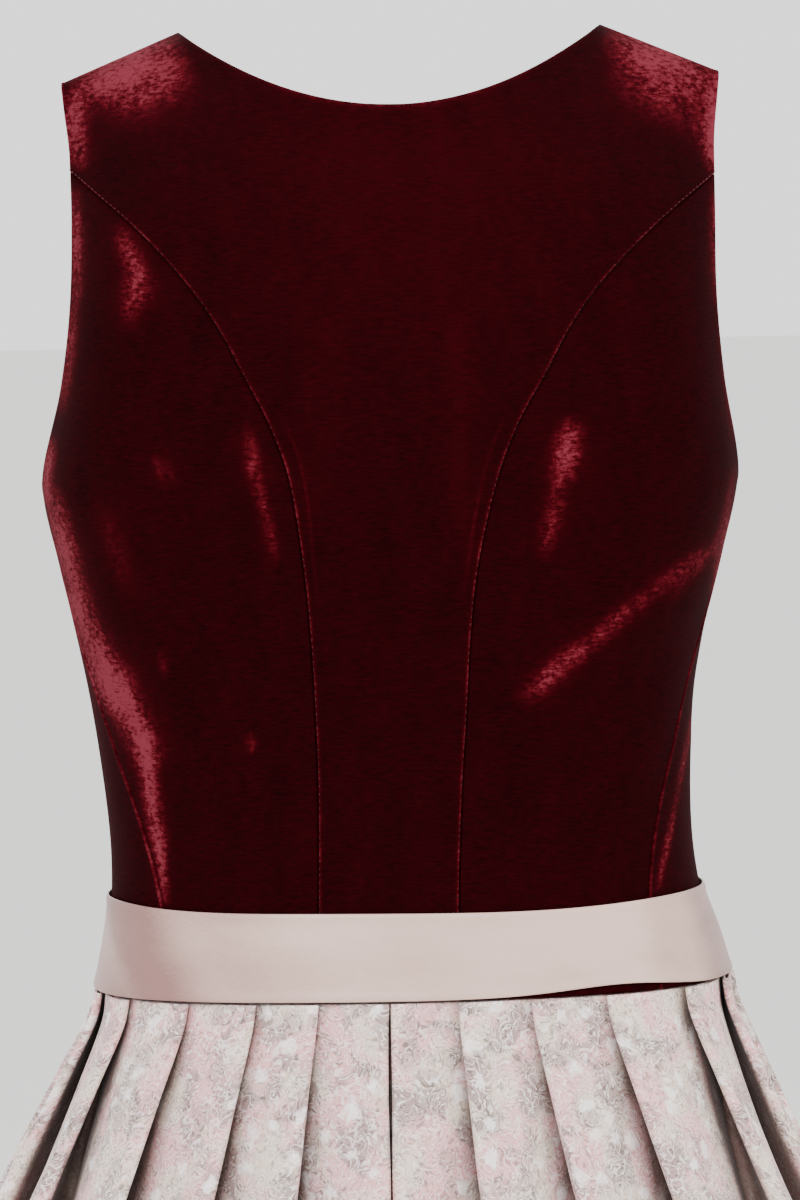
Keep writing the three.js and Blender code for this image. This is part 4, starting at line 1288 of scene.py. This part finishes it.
def fold_shade(length, drops):
    """How far each point lies in the shadow of the fold that laps over it, from 0 to 1."""
    under = STEPS["forward"]
    inside = under + STEPS["fold"] + STEPS["back"]
    unit = inside + STEPS["fold"]
    wide = mix(0.8, 5.5, ease(drops / 80))[:, None]
    shade = np.zeros(length.shape)
    for start in range(0, length.shape[1] - unit, unit):
        edge = length[:, start + inside : start + unit].min(axis=1, keepdims=True)
        away = np.clip(edge - length[:, start : start + inside], 0, None)
        shade[:, start : start + inside] = np.exp(-away / wide)
        shade[:, start + under : start + inside] = 1
        shade[:, start + inside : start + inside + 2] = (0.7, 0.3)
    floor = mix(FOLD_SHADE["floor_top"], FOLD_SHADE["floor_low"], ease((drops - 20) / 130))
    shade[:, :under] = floor[:, None]
    far = 1 - FOLD_SHADE["far"] * ease((drops - 100) / 200)
    return shade * (mix(0.6, 1, ease(drops / 14)) * far)[:, None]


def skirt_panels(sizes, material):
    at_waist, at_hem = [0, 0.25, 0.7, 1.5, 3], [612, 615, 616.6, 617.6, 618]
    drops = np.concatenate([at_waist, np.linspace(5, 150, 40), np.linspace(156, 608, 52), at_hem])
    half = sizes.jacquard_thickness / MM / 2
    sides = [skirt_points(side, drops, half) for side in (-1, 1)]
    outer, inner, cloth, shade = (
        np.concatenate([right[:, ::-1], left[:, 1:]], axis=1) for right, left in zip(*sides)
    )
    unit = STEPS["forward"] + 2 * STEPS["fold"] + STEPS["back"]
    middle = (outer.shape[1] - 1) // 2
    seam = unit * (SEAM_PLEAT + 1) + STEPS["forward"] + STEPS["fold"] + STEPS["back"] // 2
    period = outer.shape[1] - 1
    spans = {
        "skirt_back": (middle - seam, middle + seam),
        "skirt_front": (middle + seam, 3 * middle - seam),
    }
    taper = rounded(np.minimum(drops, drops[-1] - drops), half)[:, None, None]
    centre = (outer + inner) / 2
    outer, inner = centre + (outer - centre) * taper, centre + (inner - centre) * taper
    for name, (start, end) in spans.items():
        index = np.arange(start, end + 1) % period
        whole = cloth[:, index].copy()
        if name == "skirt_front":
            jump = cloth[:, -1:] - cloth[:, :1]
            whole += np.where(np.arange(start, end + 1) >= period, jump, 0)
        uv = np.stack([whole, np.broadcast_to(-drops[:, None], whole.shape)], axis=-1) * MM
        faces = [grid[:, index].copy() for grid in (outer, inner)]
        for grid in faces:
            for first, second in ((0, 1), (-1, -2)):
                step = grid[:, second] - grid[:, first]
                grid[:, first] += step * (SEAM_GAP / 2 / np.linalg.norm(step, axis=-1, keepdims=True))
        piece = cloth_shell(f"{name}_cloth", *faces, material, uv, "folded", shade[:, index])
        settle(piece, name)


# Stitches, as Geometry Nodes on seam lines


def stitch_tree(material, **sizes):
    """A bead for each stitch, evenly along the edges of the mesh, each turned a little."""
    tree = bpy.data.node_groups.new("stitches", "GeometryNodeTree")

    def add(kind, inputs, output=None, **settings):
        made = add_node(tree, kind, inputs, **settings).outputs
        return made[output] if output else made

    for way in ("INPUT", "OUTPUT"):
        tree.interface.new_socket("Geometry", in_out=way, socket_type="NodeSocketGeometry")
    for name, value in sizes.items():
        socket = tree.interface.new_socket(name, in_out="INPUT", socket_type="NodeSocketFloat")
        socket.default_value = value
    start = add("NodeGroupInput", {})
    curve = add("GeometryNodeMeshToCurve", {"Mesh": start["Geometry"]}, "Curve")
    spaced = {"Curve": curve, "Length": start["Pitch"]}
    points = add("GeometryNodeCurveToPoints", spaced, mode="LENGTH")
    bead = add("GeometryNodeMeshIcoSphere", {"Radius": 0.5, "Subdivisions": 1}, "Mesh")
    size = {"X": start["Radius"], "Y": start["Radius"], "Z": start["Length"]}
    across = {0: add("ShaderNodeCombineXYZ", size, "Vector"), 1: (2.0, 2.0, 1.0)}
    size = add("ShaderNodeVectorMath", across, "Vector", operation="MULTIPLY")
    span = {"Min": (-1.0, -1.0, -1.0), "Max": (1.0, 1.0, 1.0), "Seed": 7}
    lean = {0: add("FunctionNodeRandomValue", span, "Value", data_type="FLOAT_VECTOR")}
    lean["Scale"] = start["Wander"]
    turn = {
        "Rotation": points["Rotation"],
        "Rotate By": add("ShaderNodeVectorMath", lean, "Vector", operation="SCALE"),
    }
    placed = {
        "Points": points["Points"],
        "Instance": bead,
        "Rotation": add("FunctionNodeRotateRotation", turn, "Rotation"),
        "Scale": size,
    }
    beads = add("GeometryNodeInstanceOnPoints", placed, "Instances")
    real = add("GeometryNodeRealizeInstances", {"Geometry": beads}, "Geometry")
    coloured = {"Geometry": real, "Material": material}
    coloured = add("GeometryNodeSetMaterial", coloured, "Geometry")
    add("NodeGroupOutput", {"Geometry": coloured})
    return tree


def stitched(name, lines, material, sizes):
    """A mesh of stitches along lines of points, in millimetres."""
    points, edges = [], []
    for line in lines:
        edges += [(len(points) + i, len(points) + i + 1) for i in range(len(line) - 1)]
        points += (line * MM).tolist()
    mesh = bpy.data.meshes.new(f"{name}_lines")
    mesh.from_pydata(points, edges, [])
    guide = add_object(f"{name}_lines", mesh)
    guide.modifiers.new("stitches", "NODES").node_group = stitch_tree(
        material,
        Pitch=sizes.stitch_pitch,
        Length=sizes.stitch_length,
        Radius=sizes.thread_radius,
        Wander=0.12,
    )
    graph = bpy.context.evaluated_depsgraph_get()
    made = bpy.data.meshes.new_from_object(guide.evaluated_get(graph))
    piece = add_object(name, made)
    bpy.data.objects.remove(guide)
    if not len(made.polygons):
        raise RuntimeError(f"{name}: no stitches were made")
    made.shade_smooth()
    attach(piece, "root")


def on_form(places, out):
    return points_of(places) + form_normal(places[..., 0], places[..., 1]) * out


def seam_stitch_lines():
    """Stitches that show as a beaded line on the raised side of the curved seams."""
    lines = []
    for side in (-1, 1):
        for seam, inward in ((back_seam(side), -1), (front_seam(side), 1)):
            places = evenly(seam, 150)
            normals = form_normal(places[:, 0], places[:, 1])
            around = np.cross(np.gradient(points_of(places), axis=0), normals)
            around /= np.linalg.norm(around, axis=-1, keepdims=True)
            beside = form_point(places[:, 0] + side * inward, places[:, 1]) - points_of(places)
            towards = np.sign((around * beside).sum(-1)) * STITCH_PROUD["beside"]
            lines.append(on_form(places, STITCH_PROUD["seam"]) + around * towards[:, None])
    return lines


def hem_stitch_lines():
    drops = np.array(HEM_STITCH_DROPS)
    return [skirt_points(side, drops, STITCH_PROUD["hem"])[0][0] for side in (-1, 1)]


# Buttons


# Section of a button from its top to its foot: shares of the radius and of the height
BUTTON_PROFILE = [
    (0.25, 0.985), (0.5, 0.9), (0.7, 0.74), (0.8, 0.56), (0.84, 0.47), (0.87, 0.5),
    (0.93, 0.5), (0.985, 0.42), (1.0, 0.28), (0.97, 0.1), (0.9, 0),
]
BUTTON_SIDES = 40


def button_piece(index, sizes, material):
    r, h = sizes.button_width / MM / 2, BUTTON["height"]
    place = at_height(180, BUTTON["first"] - index * BUTTON["pitch"])
    normal = Vector(form_normal(place[0], np.array(place[1])))
    seat = Vector(points_of(place) + np.array(normal) * BUTTON["gap"])
    turn = Vector((0, 0, 1)).rotation_difference(normal).to_matrix()
    sides, rings = BUTTON_SIDES, len(BUTTON_PROFILE)
    points = []
    for wide, high in BUTTON_PROFILE:
        for k in range(sides):
            angle = 2 * math.pi * k / sides
            points.append(Vector((wide * r * math.cos(angle), wide * r * math.sin(angle), h * high)))
    top, base = len(points), len(points) + 1
    points += [Vector((0, 0, h)), Vector((0, 0, 0))]
    faces = []
    for k in range(sides):
        n = (k + 1) % sides
        for j in range(0, (rings - 1) * sides, sides):
            faces.append((j + k, j + sides + k, j + sides + n, j + n))
        faces += [(top, k, n), (base, (rings - 1) * sides + n, (rings - 1) * sides + k)]
    mesh = bpy.data.meshes.new(f"button_{index + 1}_metal")
    mesh.from_pydata([(turn @ p + seat) * MM for p in points], [], faces)
    mesh.shade_smooth()
    mesh.materials.append(material)
    settle(add_object(mesh.name, mesh), f"button_{index + 1}")


# Studio


def aimed(place, aim):
    return (Vector(aim) - Vector(place)).to_track_quat("-Z", "Y")


def studio(colours):
    mesh = bpy.data.meshes.new("floor")
    square = ((-1, -1), (1, -1), (1, 1), (-1, 1))
    mesh.from_pydata([(x * FLOOR_HALF, y * FLOOR_HALF, FLOOR_Z) for x, y in square], [], [(0, 1, 2, 3)])
    mesh.materials.append(studio_floor(colours.floor))
    add_object("floor", mesh)
    world = bpy.data.worlds.new("studio")
    world.use_nodes = True
    background = world.node_tree.nodes["Background"].inputs
    background["Color"].default_value = linear(WORLD["colour"])
    background["Strength"].default_value = WORLD["strength"]
    bpy.context.scene.world = world
    for name, (place, aim, size, power, colour) in LIGHTS.items():
        data = bpy.data.lights.new(name, "AREA")
        data.shape = "DISK"
        data.color = linear(colour)[:3]
        data.size = size
        data.energy = power
        lamp = add_object(name, data)
        lamp.location = place
        lamp.rotation_euler = aimed(place, aim).to_euler()
    eye, aim = Vector(CAMERA["eye"]), Vector(CAMERA["aim"])
    lens = bpy.data.cameras.new("camera")
    lens.sensor_width = CAMERA["sensor"]
    lens.lens = CAMERA["sensor"] * (aim - eye).length / CAMERA["seen"]
    lens.clip_end = 100
    camera = add_object("camera", lens)
    camera.location = eye
    roll = Matrix.Rotation(math.radians(CAMERA["roll"]), 3, "Z")
    camera.rotation_euler = (aimed(eye, aim).to_matrix() @ roll).to_euler()
    bpy.context.scene.camera = camera


# Properties, operators and panel


def size_property(name, description, default, low=0.0, high=1.0):
    return bpy.props.FloatProperty(
        name=name, description=description, default=default, min=low, max=high, unit="LENGTH", precision=5
    )


def colour_property(name, description, default):
    return bpy.props.StringProperty(name=name, description=description, default=default)


class DressSizes(bpy.types.PropertyGroup):
    velvet_thickness: size_property("Velvet thickness", "Thickness of the bodice's velvet", 0.0015)
    satin_thickness: size_property("Satin thickness", "Thickness of the sash", 0.001)
    jacquard_thickness: size_property("Jacquard thickness", "Thickness of the skirt's cloth", 0.001)
    stitch_pitch: size_property("Stitch pitch", "Distance from one stitch to the next", 0.0032)
    stitch_length: size_property("Stitch length", "Visible length of a stitch", 0.0018)
    thread_radius: size_property("Thread radius", "Radius of the sewing thread", 0.00017)
    button_width: size_property("Button width", "Width of a button", 0.013)


class DressColours(bpy.types.PropertyGroup):
    velvet_deep: colour_property("Velvet, deep", "Pile seen head on", "#0c0001")
    velvet: colour_property("Velvet", "Pile seen at a slant", "#2c0106")
    # The two lighter velvet colours are the painted sheen and the painted highlight of the brushed pile
    velvet_brushed_sheen: colour_property("Velvet, brushed", "Pile lying over", "#4f0c16")
    velvet_painted_highlight: colour_property("Velvet, light", "Pile brushed towards the light", "#6e2a35")
    satin: colour_property("Satin", "Sash in the light", "#d3b5aa")
    satin_shade: colour_property("Satin, shade", "Sash turned away from the light", "#8a655f")
    jacquard: colour_property("Jacquard ground", "Beige ground of the skirt's cloth", "#e3d2c3")
    jacquard_pink: colour_property("Jacquard pink", "Pink ground of the skirt's cloth", "#ebb6b8")
    jacquard_grey: colour_property("Jacquard grey", "Grey ground under the roses", "#9d8e8b")
    jacquard_shade: colour_property("Jacquard shade", "Grey threads of the figure", "#76665f")
    jacquard_light: colour_property("Jacquard light", "Silky white threads of the figure", "#fffdfb")
    jacquard_fold_shadow: colour_property("Jacquard fold", "Cloth in the shadow of a pleat", "#49322a")
    wine: colour_property("Wine thread", "Stitches of the seams", "#4c0c18")
    beige: colour_property("Beige thread", "Stitches of the hem", "#cbb9b2")
    silver: colour_property("Silver", "Buttons", "#b5b0a6")
    floor: colour_property("Floor", "Studio paper", "#eceae8")


class Builder:
    """What the operators share: each builds its part from the scene's sizes and colours."""

    def execute(self, context):
        self.build(context.scene.dress_sizes, context.scene.dress_colours)
        return {"FINISHED"}


class DRESS_OT_bodice(Builder, bpy.types.Operator):
    """Builds the seven velvet panels of the bodice"""

    bl_idname = "dress.bodice"
    bl_label = "Bodice"

    def build(self, sizes, colours):
        material = velvet(colours)
        for name, places in panel_grids().items():
            bodice_panel(name, places, sizes, material)


class DRESS_OT_buttons(Builder, bpy.types.Operator):
    """Builds the buttons on the front"""

    bl_idname = "dress.buttons"
    bl_label = "Buttons"

    def build(self, sizes, colours):
        material = silver(colours)
        for index in range(BUTTON["count"]):
            button_piece(index, sizes, material)


class DRESS_OT_sash(Builder, bpy.types.Operator):
    """Builds the satin sash round the waist"""

    bl_idname = "dress.sash"
    bl_label = "Sash"

    def build(self, sizes, colours):
        sash_band(sizes, satin(colours))


class DRESS_OT_skirt(Builder, bpy.types.Operator):
    """Builds the two pleated panels of the skirt"""

    bl_idname = "dress.skirt"
    bl_label = "Skirt"

    def build(self, sizes, colours):
        skirt_panels(sizes, jacquard(colours))


class DRESS_OT_stitches(Builder, bpy.types.Operator):
    """Sews the stitches that show along the seams and the hem"""

    bl_idname = "dress.stitches"
    bl_label = "Stitches"

    def build(self, sizes, colours):
        wine, beige = thread("wine_thread", colours.wine), thread("beige_thread", colours.beige)
        stitched("seam_stitches", seam_stitch_lines(), wine, sizes)
        stitched("hem_stitches", hem_stitch_lines(), beige, sizes)


class DRESS_OT_stage(Builder, bpy.types.Operator):
    """Sets up the floor, the lights and the camera"""

    bl_idname = "dress.stage"
    bl_label = "Stage"

    def build(self, sizes, colours):
        studio(colours)


OPERATORS = (
    DRESS_OT_bodice,
    DRESS_OT_buttons,
    DRESS_OT_sash,
    DRESS_OT_skirt,
    DRESS_OT_stitches,
    DRESS_OT_stage,
)


class DRESS_PT_panel(bpy.types.Panel):
    """Lists the dress's sizes, colours and operators"""

    bl_idname = "DRESS_PT_panel"
    bl_label = "Dirndl dress"
    bl_space_type = "VIEW_3D"
    bl_region_type = "UI"
    bl_category = "Dress"

    def draw(self, context):
        for group in (context.scene.dress_sizes, context.scene.dress_colours):
            column = self.layout.column()
            for name in group.__annotations__:
                column.prop(group, name)
        for operator in OPERATORS:
            self.layout.operator(operator.bl_idname)


CLASSES = (DressSizes, DressColours, *OPERATORS, DRESS_PT_panel)


def register():
    for item in CLASSES:
        bpy.utils.register_class(item)
    bpy.types.Scene.dress_sizes = bpy.props.PointerProperty(type=DressSizes)
    bpy.types.Scene.dress_colours = bpy.props.PointerProperty(type=DressColours)


def unregister():
    del bpy.types.Scene.dress_colours
    del bpy.types.Scene.dress_sizes
    for item in reversed(CLASSES):
        bpy.utils.unregister_class(item)


def main():
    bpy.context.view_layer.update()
    register()
    bpy.ops.dress.bodice()
    bpy.ops.dress.buttons()
    bpy.ops.dress.sash()
    bpy.ops.dress.skirt()
    bpy.ops.dress.stitches()
    bpy.ops.dress.stage()


if __name__ == "__main__":
    main()
